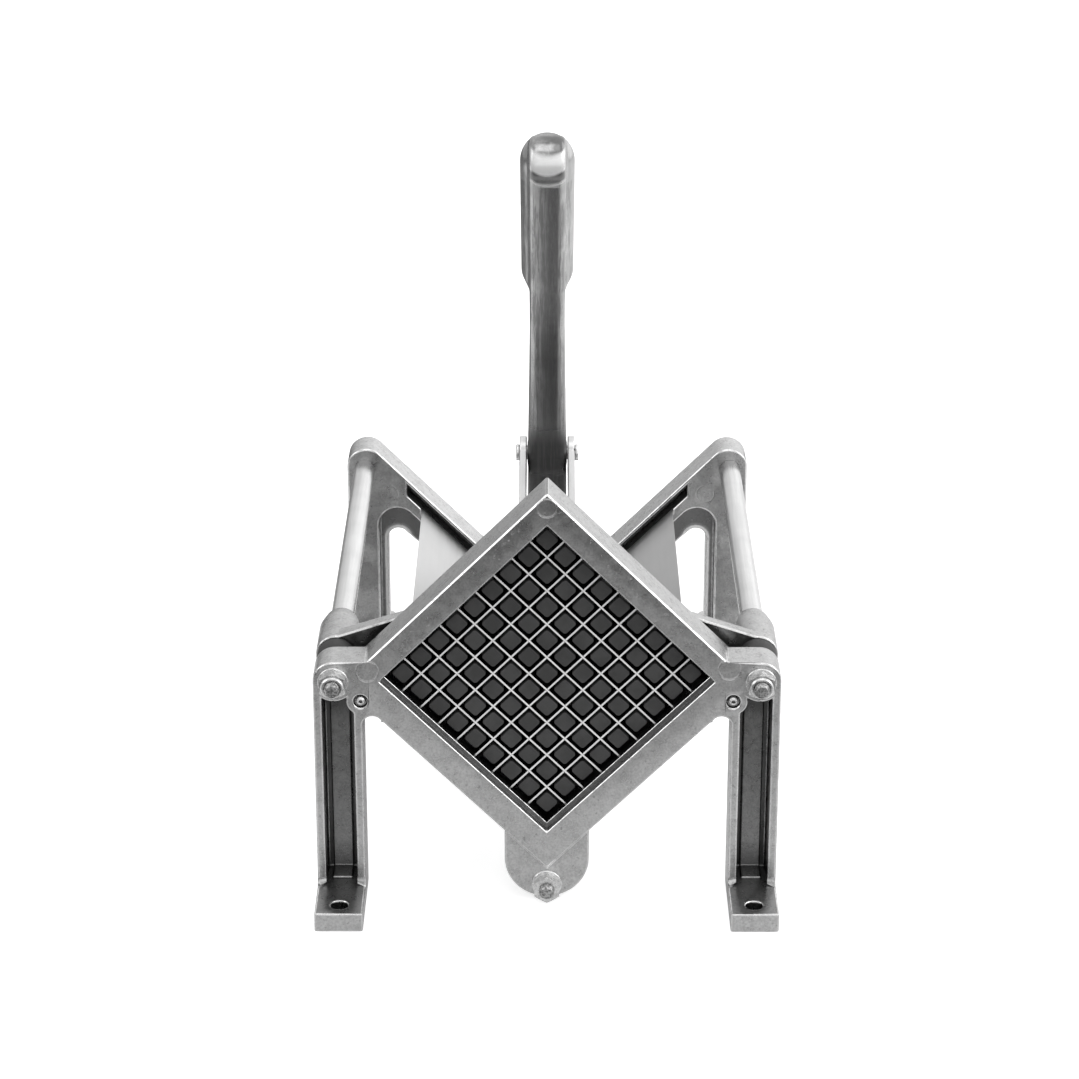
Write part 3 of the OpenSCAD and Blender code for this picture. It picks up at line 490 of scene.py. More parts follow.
def new_verts(geometry):
    return [item for item in geometry if isinstance(item, bmesh.types.BMVert)]


def split_flat(shape, spot, facing):
    """Splits the faces of a shape along a plane."""
    bmesh.ops.bisect_plane(shape, geom=[*shape.verts, *shape.edges, *shape.faces], dist=1e-6,
                           plane_co=spot, plane_no=facing)


def slab(outline, width):
    """A plate: its outline at one side, extruded along X."""
    shape = bmesh.new()
    flat = shape.faces.new([shape.verts.new(point) for point in outline])
    made = bmesh.ops.extrude_face_region(shape, geom=[flat])["geom"]
    bmesh.ops.translate(shape, vec=(width, 0, 0), verts=new_verts(made))
    return shape


def to_mesh(shape, name, turn_out=True):
    """Writes a shape to a new mesh and frees it."""
    if turn_out:
        bmesh.ops.recalc_face_normals(shape, faces=shape.faces)
    mesh = bpy.data.meshes.new(name)
    shape.to_mesh(mesh)
    shape.free()
    return mesh


def dressed_node(node, body, finish, width, segments=2, angle=28.0, choose=None, smooth=16.0):
    """A frame node with its edges rounded and its finish on."""
    shape = merged_copy(node)
    soften(shape, width, segments, angle, choose)
    return place_piece(node + "_dressed", to_mesh(shape, node), body, finish, (node,), smooth)


def revolve(outline, centre, axis, steps=48):
    """Spins an outline of (distance along axis, radius) points round the axis through centre."""
    shape = bmesh.new()
    axis = Vector(axis).normalized()
    across = axis.orthogonal().normalized()
    points = [shape.verts.new(Vector(centre) + axis * along + across * radius) for along, radius in outline]
    edges = [shape.edges.new((a, b)) for a, b in zip(points, points[1:])]
    bmesh.ops.spin(shape, geom=points + edges, cent=Vector(centre), axis=axis,
                   angle=math.tau, steps=steps, use_merge=True)
    bmesh.ops.remove_doubles(shape, verts=shape.verts, dist=1e-7)
    return shape


def join(shapes, name):
    """One mesh out of several separate bmesh shapes."""
    whole = bmesh.new()
    for shape in shapes:
        bmesh.ops.recalc_face_normals(shape, faces=shape.faces)
        part = bpy.data.meshes.new("part")
        shape.to_mesh(part)
        shape.free()
        whole.from_mesh(part)
        bpy.data.meshes.remove(part)
    return to_mesh(whole, name)


def blend_solid(mesh, voxel, rounds):
    """Melts the closed shapes of a mesh into one solid with soft inner corners."""
    holder = link_object("blend", mesh)
    melt = holder.modifiers.new("melt", "REMESH")
    melt.mode = "VOXEL"
    melt.voxel_size = voxel
    apply_to_mesh(holder, mesh, rounds)


def drill(mesh, bores, half_length):
    """Drills round holes along X through a mesh."""
    holder = link_object("drilled", mesh)
    drills = []
    for centre, radius in bores:
        outline = [(-half_length, 0.0), (-half_length, radius), (half_length, radius), (half_length, 0.0)]
        rod = revolve(outline, centre, (1, 0, 0), 48)
        rod = link_object("drill", to_mesh(rod, "drill"))
        cut = holder.modifiers.new("cut", "BOOLEAN")
        cut.operation = "DIFFERENCE"
        cut.object = rod
        drills.append(rod)
    apply_to_mesh(holder, mesh, 0)
    for rod in drills:
        bpy.data.objects.remove(rod)


def apply_to_mesh(holder, mesh, rounds):
    """Writes what the modifiers of holder make into its mesh, smoothed, and drops holder."""
    holder_state = holder.evaluated_get(bpy.context.evaluated_depsgraph_get())
    remade = bpy.data.meshes.new_from_object(holder_state)
    shape = bmesh.new()
    shape.from_mesh(remade)
    for _ in range(rounds):
        bmesh.ops.smooth_vert(shape, verts=shape.verts, factor=0.5,
                              use_axis_x=True, use_axis_y=True, use_axis_z=True)
    bpy.data.objects.remove(holder)
    shape.to_mesh(mesh)
    shape.free()
    bpy.data.meshes.remove(remade)


def hex_nut(centre, axis, across_flats, height, bore):
    """A six sided nut with the curved corners of a real one, its faces at 0 and height."""
    shape = bmesh.new()
    axis = Vector(axis).normalized()
    flat_r = across_flats / 2
    corner_r = across_flats / math.sqrt(3)
    bmesh.ops.create_cone(shape, cap_ends=False, segments=6, radius1=corner_r, radius2=corner_r, depth=height)
    long_edges = [e for e in shape.edges if abs(e.verts[0].co.z - e.verts[1].co.z) < 1e-7]
    bmesh.ops.subdivide_edges(shape, edges=long_edges, cuts=5, use_grid_fill=True)
    for vert in shape.verts:
        drop = max(0.0, math.hypot(vert.co.x, vert.co.y) - flat_r) * 0.58
        vert.co.z -= math.copysign(drop, vert.co.z)
    for top in (1, -1):
        rim = [e for e in shape.edges if e.is_boundary and (e.verts[0].co.z > 0) == (top > 0)]
        # the end face out to its rim, in to the bore, and down the bore
        for radius, level in ((flat_r * 0.93, top * height / 2), (bore, None), (None, 0.0)):
            made = bmesh.ops.extrude_edge_only(shape, edges=rim)["geom"]
            for vert in new_verts(made):
                if radius is not None:
                    scale = radius / math.hypot(vert.co.x, vert.co.y)
                    vert.co.x *= scale
                    vert.co.y *= scale
                if level is not None:
                    vert.co.z = level
            rim = [item for item in made if isinstance(item, bmesh.types.BMEdge)]
    bmesh.ops.remove_doubles(shape, verts=shape.verts, dist=1e-6)
    turn = Vector((0, 0, 1)).rotation_difference(axis).to_matrix().to_4x4()
    shift = Matrix.Translation(Vector(centre) + axis * height / 2)
    bmesh.ops.transform(shape, matrix=shift @ turn, verts=shape.verts)
    return shape


def washer(centre, axis, outer, bore, thick):
    """A flat washer with small chamfers."""
    e = thick * 0.18
    outline = [(e, bore), (0, bore + e), (0, outer - e), (e, outer), (thick - e, outer),
               (thick, outer - e), (thick, bore + e), (thick - e, bore), (e, bore)]
    return revolve(outline, centre, axis, 48)


def thread(start, length, radius, pitch):
    """Outline points of a thread, as crests and roots from start to start + length."""
    points = []
    turns = int(length / pitch)
    for i in range(turns):
        at = start + i * pitch
        points += [(at, radius * 0.86), (at + pitch * 0.35, radius), (at + pitch * 0.6, radius)]
    points.append((start + length, radius * 0.86))
    return points


# ---------------------------------------------------------------- sizes
class FryCastings(bpy.types.PropertyGroup):
    """Tones and edges of the castings"""
    front_tone: FloatProperty(name="Front tone", description="Base tone of the front casting",
        default=0.58, **FACTOR)
    rear_tone: FloatProperty(name="Rear tone", description="Base tone of the rear casting",
        default=0.66, **FACTOR)
    carriage_tone: FloatProperty(name="Carriage tone", description="Base tone of the carriage",
        default=0.56, **FACTOR)
    blade_frame_tone: FloatProperty(name="Blade frame tone", description="Base tone of the blade frame",
        default=0.18, **FACTOR)
    metallic: FloatProperty(name="Metallic", description="How metallic the castings look",
        default=1.0, **FACTOR)
    mottle: FloatProperty(name="Mottle", description="Strength of the cloudy tones", default=0.15, **FACTOR)
    # darkens the recesses: partly soot, partly painted shade
    soot_and_shade: FloatProperty(name="Soot", description="Darkening of the recesses", default=0.9, **FACTOR)
    # tone of the rounded edges: rubbed metal and painted highlight
    edge_tone: FloatProperty(name="Edge tone", description="Base tone of the worn edges",
        default=0.8, **FACTOR)
    rough: FloatProperty(name="Roughness", description="Roughness of the castings", default=0.29, **FACTOR)
    grain: FloatProperty(name="Grain", description="Strength of the casting grain", default=0.38, **FACTOR)
    ring_edge: FloatProperty(name="Ring chamfer", description="Chamfer of the upper ring edges",
        default=0.00055, **FINE_LENGTH)
    edge: FloatProperty(name="Edge radius", description="Rounding of the cast edges",
        default=0.0007, **FINE_LENGTH)


class FryMetals(bpy.types.PropertyGroup):
    """Tones of the steel, the lever and the dark pieces"""
    lever_tone: FloatProperty(name="Lever tone", description="Base tone of the lever",
        default=0.55, **FACTOR)
    rod_tone: FloatProperty(name="Rod tone", description="Base tone of the rods", default=0.88, **FACTOR)
    sheet_tone: FloatProperty(name="Sheet tone", description="Base tone of the trough",
        default=0.74, **FACTOR)
    link_tone: FloatProperty(name="Link tone", description="Base tone of the links", default=0.85, **FACTOR)
    blade_tone: FloatProperty(name="Blade tone", description="Base tone of the blades",
        default=1.0, **FACTOR)
    plated_tone: FloatProperty(name="Plated tone", description="Base tone of nuts, washers and pins",
        default=0.8, **FACTOR)
    polymer_tone: FloatProperty(name="Polymer tone", description="Base tone of the pusher block",
        default=0.05, **FACTOR)
    rubber_tone: FloatProperty(name="Rubber tone", description="Base tone of the bumpers",
        default=0.03, **FACTOR)


class FryLever(bpy.types.PropertyGroup):
    """Sizes of the lever"""
    pivot_y: FloatProperty(name="Pivot Y", description="Place of the pivot along Y",
        default=0.1145, **LENGTH)
    pivot_z: FloatProperty(name="Pivot Z", description="Height of the pivot", default=0.052, **LENGTH)
    pin_y: FloatProperty(name="Pin Y", description="Place of the link pin along Y",
        default=0.0255, **LENGTH)
    pin_z: FloatProperty(name="Pin Z", description="Height of the link pin", default=0.135, **LENGTH)
    lean: FloatProperty(name="Lean", description="Lean of the grip from the vertical",
        default=math.radians(42.0), subtype="ANGLE")
    foot_ahead: FloatProperty(name="Foot ahead", description="Distance of the grip foot before the pivot",
        default=0.130, **LENGTH)
    foot_rise: FloatProperty(name="Foot rise", description="Height of the grip foot over the pivot",
        default=0.1684, **LENGTH)
    heel_ahead: FloatProperty(name="Heel ahead", description="Forward reach of the heel curve",
        default=0.090, **LENGTH)
    heel_rise: FloatProperty(name="Heel rise", description="Rise of the heel curve",
        default=0.034, **LENGTH)
    neck: FloatProperty(name="Neck", description="Straight length below the grip foot",
        default=0.040, **LENGTH)
    bar_width: FloatProperty(name="Bar width", description="Width of the bar", default=0.0144, **LENGTH)
    bar_depth: FloatProperty(name="Bar depth", description="Depth of the bar", default=0.020, **LENGTH)
    bar_round: FloatProperty(name="Bar rounding", description="Rounding of the bar's long edges",
        default=0.0028, **LENGTH)
    grip_radius: FloatProperty(name="Grip radius", description="Radius of the round grip",
        default=0.0105, **LENGTH)
    grip_length: FloatProperty(name="Grip length", description="Length from foot to end centre",
        default=0.092, **LENGTH)
    grip_back: FloatProperty(name="Grip set back", description="Set back of the grip behind the bar",
        default=0.003, **LENGTH)
    nose_out: FloatProperty(name="Nose out", description="Reach of the nose centre past the grip's end",
        default=0.0035, **LENGTH)
    hub_width: FloatProperty(name="Boss width", description="Width of the lever bosses",
        default=0.0168, **LENGTH)
    hub_radius: FloatProperty(name="Boss radius", description="Radius of the pivot boss",
        default=0.0115, **LENGTH)
    pin_boss: FloatProperty(name="Pin boss radius", description="Radius of the boss at the link pin",
        default=0.0098, **LENGTH)
    voxel: FloatProperty(name="Blend size", description="Fineness of the blended surface",
        default=0.0006, min=0.0003, **LENGTH)


class FryStudio(bpy.types.PropertyGroup):
    """Camera and light"""
    focal: FloatProperty(name="Focal length", description="Focal length in millimetres",
        default=106.43, min=20.0, max=300.0)
    camera_y: FloatProperty(name="Camera distance", description="Camera place along Y",
        default=-1.2516, **LENGTH)
    camera_z: FloatProperty(name="Camera height", description="Camera height", default=0.6108, **LENGTH)
    pitch: FloatProperty(name="Pitch", description="How far the camera looks down",
        default=math.radians(22.0), subtype="ANGLE")
    yaw: FloatProperty(name="Yaw", description="How far the camera turns to the left",
        default=math.radians(0.147), subtype="ANGLE")
    key: FloatProperty(name="Key light", description="Power of the lamp behind at the right", default=4.0)
    top: FloatProperty(name="Top light", description="Power of the lamp above", default=3.0)
    left: FloatProperty(name="Left light", description="Power of the lamp at the left", default=4.0)
    right: FloatProperty(name="Right light", description="Power of the lamp at the right", default=4.0)
    world_bright: FloatProperty(name="Bright surround", description="Strength of the surround",
        default=0.95)
    world_dark: FloatProperty(name="Dark surround", description="Strength of the surround at the back left",
        default=0.7)
    floor_near: FloatProperty(name="Near floor", description="Tone of the near floor in reflections",
        default=0.62, **FACTOR)
    floor_under: FloatProperty(name="Floor under", description="Tone of the floor under the cutter",
        default=0.76, **FACTOR)
    floor_far: FloatProperty(name="Far floor", description="Tone of the far floor in reflections",
        default=0.08, **FACTOR)


# ---------------------------------------------------------------- operators
class FRY_OT_castings(bpy.types.Operator):
    """Front and rear castings with rounded cast edges"""
    bl_idname = "fry.castings"
    bl_label = "Castings"

    def execute(self, context):
        self.front(context.scene.fry_castings)
        self.rear(context.scene.fry_castings)
        dressed_node("blade_frame", "frame", "frame_cast", 0.15 * MM, 1,
                     choose=lambda edge: min(vert.co.y for vert in edge.verts) < -0.122)
        return {"FINISHED"}

    def front(self, look):
        """The front casting, with the raised panels in its legs."""
        face_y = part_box("blades_falling")[0].y - 6.0 * MM
        middle = (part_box("blade_frame")[0].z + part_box("blade_frame")[1].z) / 2
        reach = 77.4 * MM
        strip = middle + reach - 4.0 * MM
        short = 69.3 * MM
        shape = merged_copy("front_casting")
        # a strip along the upper ring edges gets its own face, so that their chamfer stays even
        for way in (-1, 1):
            split_flat(shape, (0, 0, strip), (way, 0, 1))
            split_flat(shape, (way * short, 0, 0), (1, 0, 0))
            spare = [edge for edge in shape.edges if edge.calc_face_angle(1.0) < 0.005
                     and all(abs(vert.co.y - face_y) < 1e-6 and abs(vert.co.x) < short + 1e-6
                             and way * vert.co.x + vert.co.z > strip - 1e-6 for vert in edge.verts)
                     and not all(way * vert.co.x + vert.co.z < strip + 1e-6 for vert in edge.verts)
                     and not all(abs(vert.co.x) > short - 1e-6 for vert in edge.verts)]
            bmesh.ops.dissolve_edges(shape, edges=spare, use_verts=False)

        def ring_edge(edge):
            return all(abs(vert.co.y - face_y) < 0.1 * MM and vert.co.z > middle
                       and abs(abs(vert.co.x) + vert.co.z - middle - reach) < 0.3 * MM for vert in edge.verts)

        def foot_corner(edge):
            return all(abs(vert.co.z - FOOT_TOP) < 0.05 * MM and abs(vert.co.y - face_y) < 0.05 * MM
                       for vert in edge.verts)
        soften(shape, look.ring_edge, 1, choose=ring_edge)
        soften(shape, 3.0 * MM, 4, choose=foot_corner, wear_and_highlight=0.25)
        soften(shape, look.edge, 3)
        parts = [shape]
        outline = [(-0.1095, 0.084), (-0.1113, 0.084), (-0.1113, 0.009), (-0.1212, 0.009),
                   (-0.1212, 0.0075), (-0.1095, 0.0075)]
        for way in (-1, 1):
            inner = LEG_X * way - 4.1 * MM
            panel = slab([(inner, y, z) for y, z in outline], 8.2 * MM)
            bmesh.ops.recalc_face_normals(panel, faces=panel.faces)
            soften(panel, 0.6 * MM, 3, wear_and_highlight=0.45)
            parts.append(panel)
        place_piece("front_casting_dressed", join(parts, "front_casting"), "frame", "front_cast",
                    ("front_casting",), 16)

    def rear(self, look):
        """The rear casting, sharp round the rods and where the feet meet the legs."""
        def rounded(edge):
            on_foot = all(abs(vert.co.z - FOOT_TOP) < 1e-4 and vert.co.y > 0.12 for vert in edge.verts)
            clear = all(math.hypot(abs(vert.co.x) - ROD_X, vert.co.z - ROD_Z) > 6.0 * MM
                        for vert in edge.verts)
            return clear and not (on_foot and not edge.is_convex)
        shape = merged_copy("rear_casting")
        for spot, facing in (((0.03, 0, 0.058), (1, 0, 1)), ((-0.03, 0, 0.058), (-1, 0, 1)),
                             ((0, 0.1275, 0), (0, 1, 0))):
            split_flat(shape, spot, facing)
        soften(shape, look.edge * 1.2, 3, choose=rounded)
        place_piece("rear_casting_dressed", to_mesh(shape, "rear_casting"), "frame", "rear_cast",
                    ("rear_casting",), 16)


class FRY_OT_rods(bpy.types.Operator):
    """Side rods and tie rod with their threaded ends"""
    bl_idname = "fry.rods"
    bl_label = "Rods"

    def execute(self, context):
        for node in ("guide_rod_left", "guide_rod_right", "lower_tie_rod"):
            low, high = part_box(node)
            middle = (low + high) / 2
            radius = (high.x - low.x) / 2
            stud = 3.0 * MM
            seat = 8.0 * MM
            first = FRONT_Y + seat - middle.y
            last = (REAR_Y if node == "lower_tie_rod" else BOSS_Y) - seat - middle.y
            near = low.y - middle.y
            far = high.y - middle.y
            chamfer = 0.6 * MM
            outline = [(near, 0.0), (near, stud * 0.7)]
            outline += thread(near + chamfer, first - near - chamfer, stud, 1.0 * MM)
            outline += [(first, radius - chamfer), (first + chamfer, radius), (last - chamfer, radius),
                        (last, radius - chamfer)]
            outline += thread(last, far - last - chamfer, stud, 1.0 * MM)
            outline += [(far, stud * 0.7), (far, 0.0)]
            shape = revolve(outline, middle, (0, 1, 0), 64)
            place_piece(node + "_dressed", to_mesh(shape, node), "frame", "rod", (node,), 40)
        return {"FINISHED"}


class FRY_OT_trough(bpy.types.Operator):
    """V trough of brushed sheet"""
    bl_idname = "fry.trough"
    bl_label = "Trough"

    def execute(self, context):
        dressed_node("trough", "frame", "sheet", 0.25 * MM, 2)
        return {"FINISHED"}


class FRY_OT_grid(bpy.types.Operator):
    """Blade strips with ground front edges, and the small screws of their frame"""
    bl_idname = "fry.grid"
    bl_label = "Blade grid"

    def execute(self, context):
        for node in ("blades_falling", "blades_rising"):
            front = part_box(node)[0].y

            def ground(edge):
                return (all(abs(v.co.y - front) < 1e-6 for v in edge.verts)
                        and edge.calc_length() > 3.0 * MM)
            dressed_node(node, "frame", "blade", 0.03 * MM, 1, choose=ground)
        screws = []
        for side in (-1, 1):
            at = (0.0725 * side, FRONT_Y, 0.0877)
            head = [(0.9 * MM, 0.0), (0.9 * MM, 0.6 * MM), (0.1 * MM, 0.7 * MM), (0.0, 1.0 * MM),
                    (0.15 * MM, 1.4 * MM), (0.5 * MM, 1.7 * MM), (2.0 * MM, 1.75 * MM), (2.0 * MM, 1.45 * MM),
                    (19.0 * MM, 1.45 * MM), (19.0 * MM, 0.0)]
            screws.append(revolve(head, at, (0, 1, 0), 32))
        place_piece("blade_frame_screws_dressed", join(screws, "screws"), "frame", "plated",
                    ("blade_frame_screws",))
        return {"FINISHED"}


class FRY_OT_fasteners(bpy.types.Operator):
    """Locking nuts, plain nuts and washers of the rods"""
    bl_idname = "fry.fasteners"
    bl_label = "Nuts and washers"

    def execute(self, context):
        bore, nut_width, thick = 3.06 * MM, 10.0 * MM, 1.2 * MM
        nuts, plain, rings = [], [], []

        def seat(x, y, z, way):
            """Puts a washer at a seat and gives the place and the axis of the nut on it."""
            at = Vector((x, y, z))
            axis = Vector((0, way, 0))
            rings.append(washer(at, axis, 6.0 * MM, 3.3 * MM, thick))
            return at, axis
        for side in (-1, 1):
            for face, way in ((FRONT_Y, -1), (BOSS_Y, 1)):
                at, axis = seat(side * ROD_X, face, ROD_Z, way)
                nuts.append(hex_nut(at + axis * thick, axis, nut_width, 4.5 * MM, bore))
                collar = [(0, bore), (0, 4.6 * MM), (0.9 * MM, 4.6 * MM), (1.4 * MM, 4.1 * MM),
                          (1.5 * MM, 3.6 * MM), (1.3 * MM, bore), (0, bore)]
                nuts.append(revolve(collar, at + axis * 5.7 * MM, axis, 40))
        for face, way in ((TIE_FRONT_Y, -1), (REAR_Y, 1)):
            at, axis = seat(0, face, TIE_Z, way)
            plain.append(hex_nut(at + axis * thick, axis, nut_width, 5.0 * MM, bore))
        place_piece("side_rod_nuts_dressed", join(nuts, "nuts"), "frame", "plated",
                    ("side_rod_nuts",), 25)
        place_piece("tie_rod_nuts_dressed", join(plain, "nuts"), "frame", "plated",
                    ("tie_rod_nuts",), 25)
        place_piece("rod_washers_dressed", join(rings, "washers"), "frame", "plated",
                    ("rod_washers",))
        return {"FINISHED"}


class FRY_OT_bumpers(bpy.types.Operator):
    """Rubber bumpers on the side rods"""
    bl_idname = "fry.bumpers"
    bl_label = "Bumpers"

    def execute(self, context):
        dressed_node("front_bumpers", "frame", "rubber", 0.9 * MM, 3, 40, smooth=35.0)
        return {"FINISHED"}


class FRY_OT_pivot(bpy.types.Operator):
    """Lever pivot bolt and its nut"""
    bl_idname = "fry.pivot"
    bl_label = "Pivot"

    def execute(self, context):
        dressed_node("pivot_bolt", "frame", "plated", 0.35 * MM, 2)
        dressed_node("pivot_nut", "frame", "plated", 0.35 * MM, 2)
        return {"FINISHED"}


class FRY_OT_lever(bpy.types.Operator):
    """Lever with its bar and round grip, blended like one polished casting"""
    bl_idname = "fry.lever"
    bl_label = "Lever"

    def execute(self, context):
        size = context.scene.fry_lever
        pivot = Vector((0, size.pivot_y, size.pivot_z))
        lean = Vector((0, -math.sin(size.lean), math.cos(size.lean)))
        behind = Vector((0, math.cos(size.lean), math.sin(size.lean)))
        foot = pivot + Vector((0, -size.foot_ahead, size.foot_rise))
        heel = pivot + Vector((0, -size.heel_ahead, size.heel_rise))
        neck = foot - size.neck * lean
        half = size.bar_depth / 2

        def bend(t):
            return ((1 - t) ** 3 * pivot + 3 * (1 - t) ** 2 * t * heel
                    + 3 * (1 - t) * t ** 2 * neck + t ** 3 * foot)

        def side(t):
            way = ((1 - t) ** 2 * (heel - pivot) + 2 * (1 - t) * t * (neck - heel) + t ** 2 * (foot - neck))
            return Vector((0, way.z, -way.y)).normalized()

        steps = 24
        nose = foot + (size.grip_length + size.nose_out) * lean
        outline = [bend(i / steps) + half * side(i / steps) for i in range(steps + 1)]
        outline += [nose + half * (math.cos(math.pi * i / 16) * behind + math.sin(math.pi * i / 16) * lean)
                    for i in range(17)]
        outline += [bend(i / steps) - half * side(i / steps) for i in range(steps, -1, -1)]
        bar = slab([point - Vector((size.bar_width / 2, 0, 0)) for point in outline], size.bar_width)
        # below the pin the bar is as wide as its bosses
        for vert in bar.verts:
            if vert.co.z < 0.145:
                vert.co.x = math.copysign(size.hub_width / 2 - 0.1 * MM, vert.co.x)
        rims = [edge for edge in bar.edges if abs(edge.verts[0].co.x - edge.verts[1].co.x) < 2e-3]
        bmesh.ops.bevel(bar, geom=rims, offset=size.bar_round, offset_type="OFFSET", affect="EDGES",
                        segments=5, profile=0.5, material=-1, clamp_overlap=False)
        radius = size.grip_radius
        grip = [(-6.0 * MM, 0.0), (-6.0 * MM, 6.5 * MM), (12.0 * MM, radius)]
        grip += [(size.grip_length + radius * math.sin(math.pi * i / 24), radius * math.cos(math.pi * i / 24))
                 for i in range(12)]
        grip.append((size.grip_length + radius, 0.0))
        shapes = [bar, revolve(grip, foot + size.grip_back * behind, lean, 48)]
        pin = Vector((0, size.pin_y, size.pin_z))
        hub = size.hub_width / 2
        waist = size.bar_width / 2 - 0.2 * MM
        for centre, inner, outer, rim in ((pivot, size.hub_radius - MM, size.hub_radius, hub - MM),
                                          (pin, 4.5 * MM, size.pin_boss, waist)):
            boss = [(-hub, 0.0), (-hub, inner), (-rim, outer), (rim, outer), (hub, inner), (hub, 0.0)]
            shapes.append(revolve(boss, centre, (1, 0, 0), 64))
        mesh = join(shapes, "lever")
        blend_solid(mesh, size.voxel, 5)
        drill(mesh, [(pivot, 4.06 * MM), (pin, 3.06 * MM)], 12 * MM)
        place_piece("lever_dressed", mesh, "lever", "lever", ("lever",), 60)
        return {"FINISHED"}


class FRY_OT_links(bpy.types.Operator):
    """Link strips and their riveted pins"""
    bl_idname = "fry.links"
    bl_label = "Links"

    def execute(self, context):
        dressed_node("link_left", "links", "link", 0.4 * MM, 2)
        dressed_node("link_right", "links", "link", 0.4 * MM, 2)
        dressed_node("link_pins", "links", "plated", 0.7 * MM, 3)
        return {"FINISHED"}


class FRY_OT_carriage(bpy.types.Operator):
    """Carriage casting and its guide bushings"""
    bl_idname = "fry.carriage"
    bl_label = "Carriage"

    def execute(self, context):
        edge = context.scene.fry_castings.edge
        dressed_node("carriage", "carriage", "carriage_cast", edge, 3)
        dressed_node("guide_bushings", "carriage", "bronze", 0.2 * MM, 1)
        return {"FINISHED"}


class FRY_OT_pusher(bpy.types.Operator):
    """Black pusher block with its square fingers, and its screws"""
    bl_idname = "fry.pusher"
    bl_label = "Pusher"

    def execute(self, context):
        dressed_node("pusher_block", "carriage", "polymer", 0.35 * MM, 2)
        dressed_node("pusher_screws", "carriage", "plated", 0.2 * MM, 1)
        return {"FINISHED"}


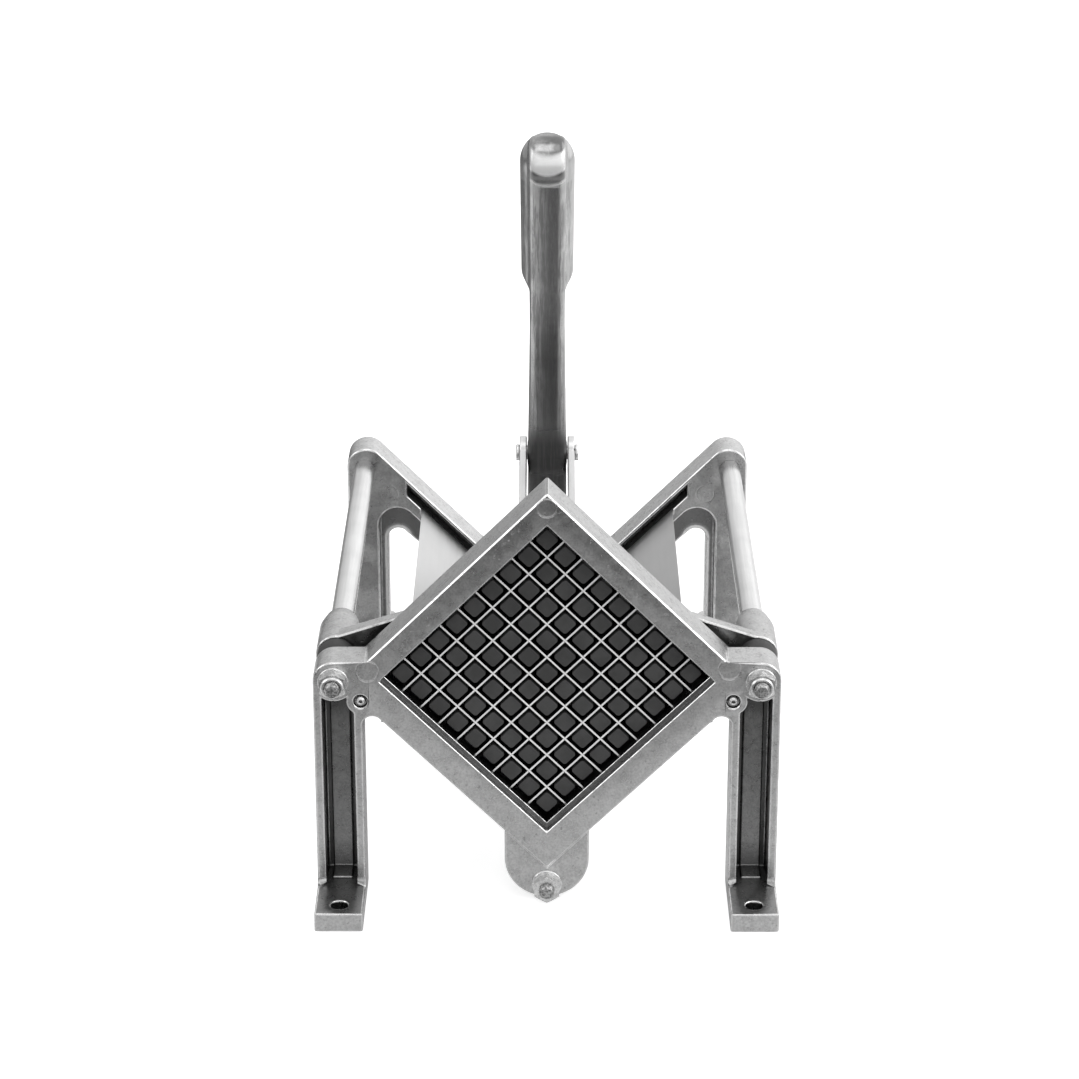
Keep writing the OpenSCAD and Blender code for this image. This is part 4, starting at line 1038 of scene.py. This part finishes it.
class FRY_OT_studio(bpy.types.Operator):
    """Floor, lamps, surround and camera"""
    bl_idname = "fry.studio"
    bl_label = "Studio"

    def lamp(self, name, power, at, aim):
        """A soft square lamp, a metre wide."""
        light = bpy.data.lights.new(name, "AREA")
        light.shape = "RECTANGLE"
        light.energy = power
        light.size, light.size_y = (1.0, 1.0)
        holder = link_object(name, light)
        holder.location = at
        holder.rotation_euler = (Vector(aim) - Vector(at)).to_track_quat("-Z", "Y").to_euler()

    def execute(self, context):
        studio = context.scene.fry_studio
        scene = context.scene
        shape = bmesh.new()
        bmesh.ops.create_grid(shape, x_segments=2, y_segments=2, size=6.0)
        floor = link_object("floor", to_mesh(shape, "floor", False))
        sheet = Sheet("floor_white")
        soft = sheet.noise(0.8, 2.0)
        seen = sheet.node("ShaderNodeLightPath", {}, {}, "Is Camera Ray")
        paper = sheet.blend(soft, grey(0.80), grey(0.82))
        # painted light on the floor for all rays but the camera's: a pool of light near the cutter, a lighter
        # tone under it, and painted shade far off and in the back left corner
        along = sheet.axis("Y")
        dim = sheet.blend(along.ramp(-0.5, -0.16), grey(studio.floor_far), grey(studio.floor_near))
        dim = sheet.blend(along.ramp(-0.18, -0.1), dim, grey(studio.floor_under))
        corner = (0.0 - sheet.axis("X")).ramp(-0.1, 0.15) * along.ramp(0.15, 0.4)
        dim = sheet.blend(corner * 0.8, dim, grey(studio.floor_far))
        sheet.set(Base_Color=sheet.blend(seen, dim, paper), Roughness=0.9)
        sheet.shader.inputs["Specular IOR Level"].default_value = 0.0
        glow = sheet.node("ShaderNodeEmission", {}, {"Color": (1, 1, 1, 1), "Strength": seen * 0.62})
        paint = Wire(sheet, sheet.shader.outputs["BSDF"])
        both = sheet.node("ShaderNodeAddShader", {}, {0: paint, 1: glow})
        sheet.feed(sheet.output.inputs["Surface"], both)
        floor.data.materials.append(sheet.material)

        self.lamp("key", studio.key, (1.3, 0.5, 1.3), (0, 0, 0.12))
        self.lamp("top", studio.top, (0.0, -0.4, 1.9), (0, 0, 0.1))
        self.lamp("left", studio.left, (-1.6, -0.5, 1.1), (0, 0, 0.12))
        self.lamp("right", studio.right, (1.6, -0.5, 1.1), (0, 0, 0.12))

        world = bpy.data.worlds.new("studio_surround")
        scene.world = world
        room = Sheet("studio_surround", world)
        side, back, up = (room.axis(name) for name in "XYZ")
        shade = (back * 0.7 - side * 0.7 - up * 0.5).ramp(0.2, 0.9)
        level = studio.world_bright + side * 0.3 - (studio.world_bright - studio.world_dark) * shade
        seen = room.node("ShaderNodeLightPath", {}, {}, "Is Camera Ray")
        level = seen + (1.0 - seen) * level
        glow = room.node("ShaderNodeBackground", {}, {"Color": (1, 1, 1, 1), "Strength": level})
        room.feed(room.output.inputs["Surface"], glow)

        camera = bpy.data.cameras.new("camera")
        camera.sensor_width = 36.0
        camera.lens = studio.focal
        holder = link_object("camera", camera)
        holder.location = (0.0, studio.camera_y, studio.camera_z)
        holder.rotation_euler = (math.radians(90) - studio.pitch, 0, studio.yaw)
        scene.camera = holder
        scene.view_settings.view_transform = "Standard"
        return {"FINISHED"}


class FRY_PT_panel(bpy.types.Panel):
    """Lists the steps of the fry cutter"""
    bl_idname = "FRY_PT_panel"
    bl_label = "Fry Cutter"
    bl_space_type = "VIEW_3D"
    bl_region_type = "UI"
    bl_category = "Fry Cutter"

    def draw(self, context):
        column = self.layout.column()
        for operator in OPERATORS:
            column.operator(operator.bl_idname)
        for group, _ in GROUPS:
            box = column.box()
            settings = getattr(context.scene, group)
            for key in settings.__annotations__:
                box.prop(settings, key)


OPERATORS = (FRY_OT_castings, FRY_OT_rods, FRY_OT_trough, FRY_OT_grid, FRY_OT_fasteners, FRY_OT_bumpers,
             FRY_OT_pivot, FRY_OT_lever, FRY_OT_links, FRY_OT_carriage, FRY_OT_pusher, FRY_OT_studio)
GROUPS = (("fry_castings", FryCastings), ("fry_metals", FryMetals), ("fry_lever", FryLever),
          ("fry_studio", FryStudio))


def register():
    """Registers the settings, the operators and the panel."""
    for name, group in GROUPS:
        bpy.utils.register_class(group)
        setattr(bpy.types.Scene, name, PointerProperty(type=group))
    for operator in OPERATORS:
        bpy.utils.register_class(operator)
    bpy.utils.register_class(FRY_PT_panel)


def unregister():
    """Takes everything away again, in reverse order."""
    bpy.utils.unregister_class(FRY_PT_panel)
    for operator in reversed(OPERATORS):
        bpy.utils.unregister_class(operator)
    for name, group in reversed(GROUPS):
        delattr(bpy.types.Scene, name)
        bpy.utils.unregister_class(group)


def main():
    """Runs every operator in turn."""
    register()
    for operator in OPERATORS:
        family, name = operator.bl_idname.split(".")
        getattr(getattr(bpy.ops, family), name)()


if __name__ == "__main__":
    main()
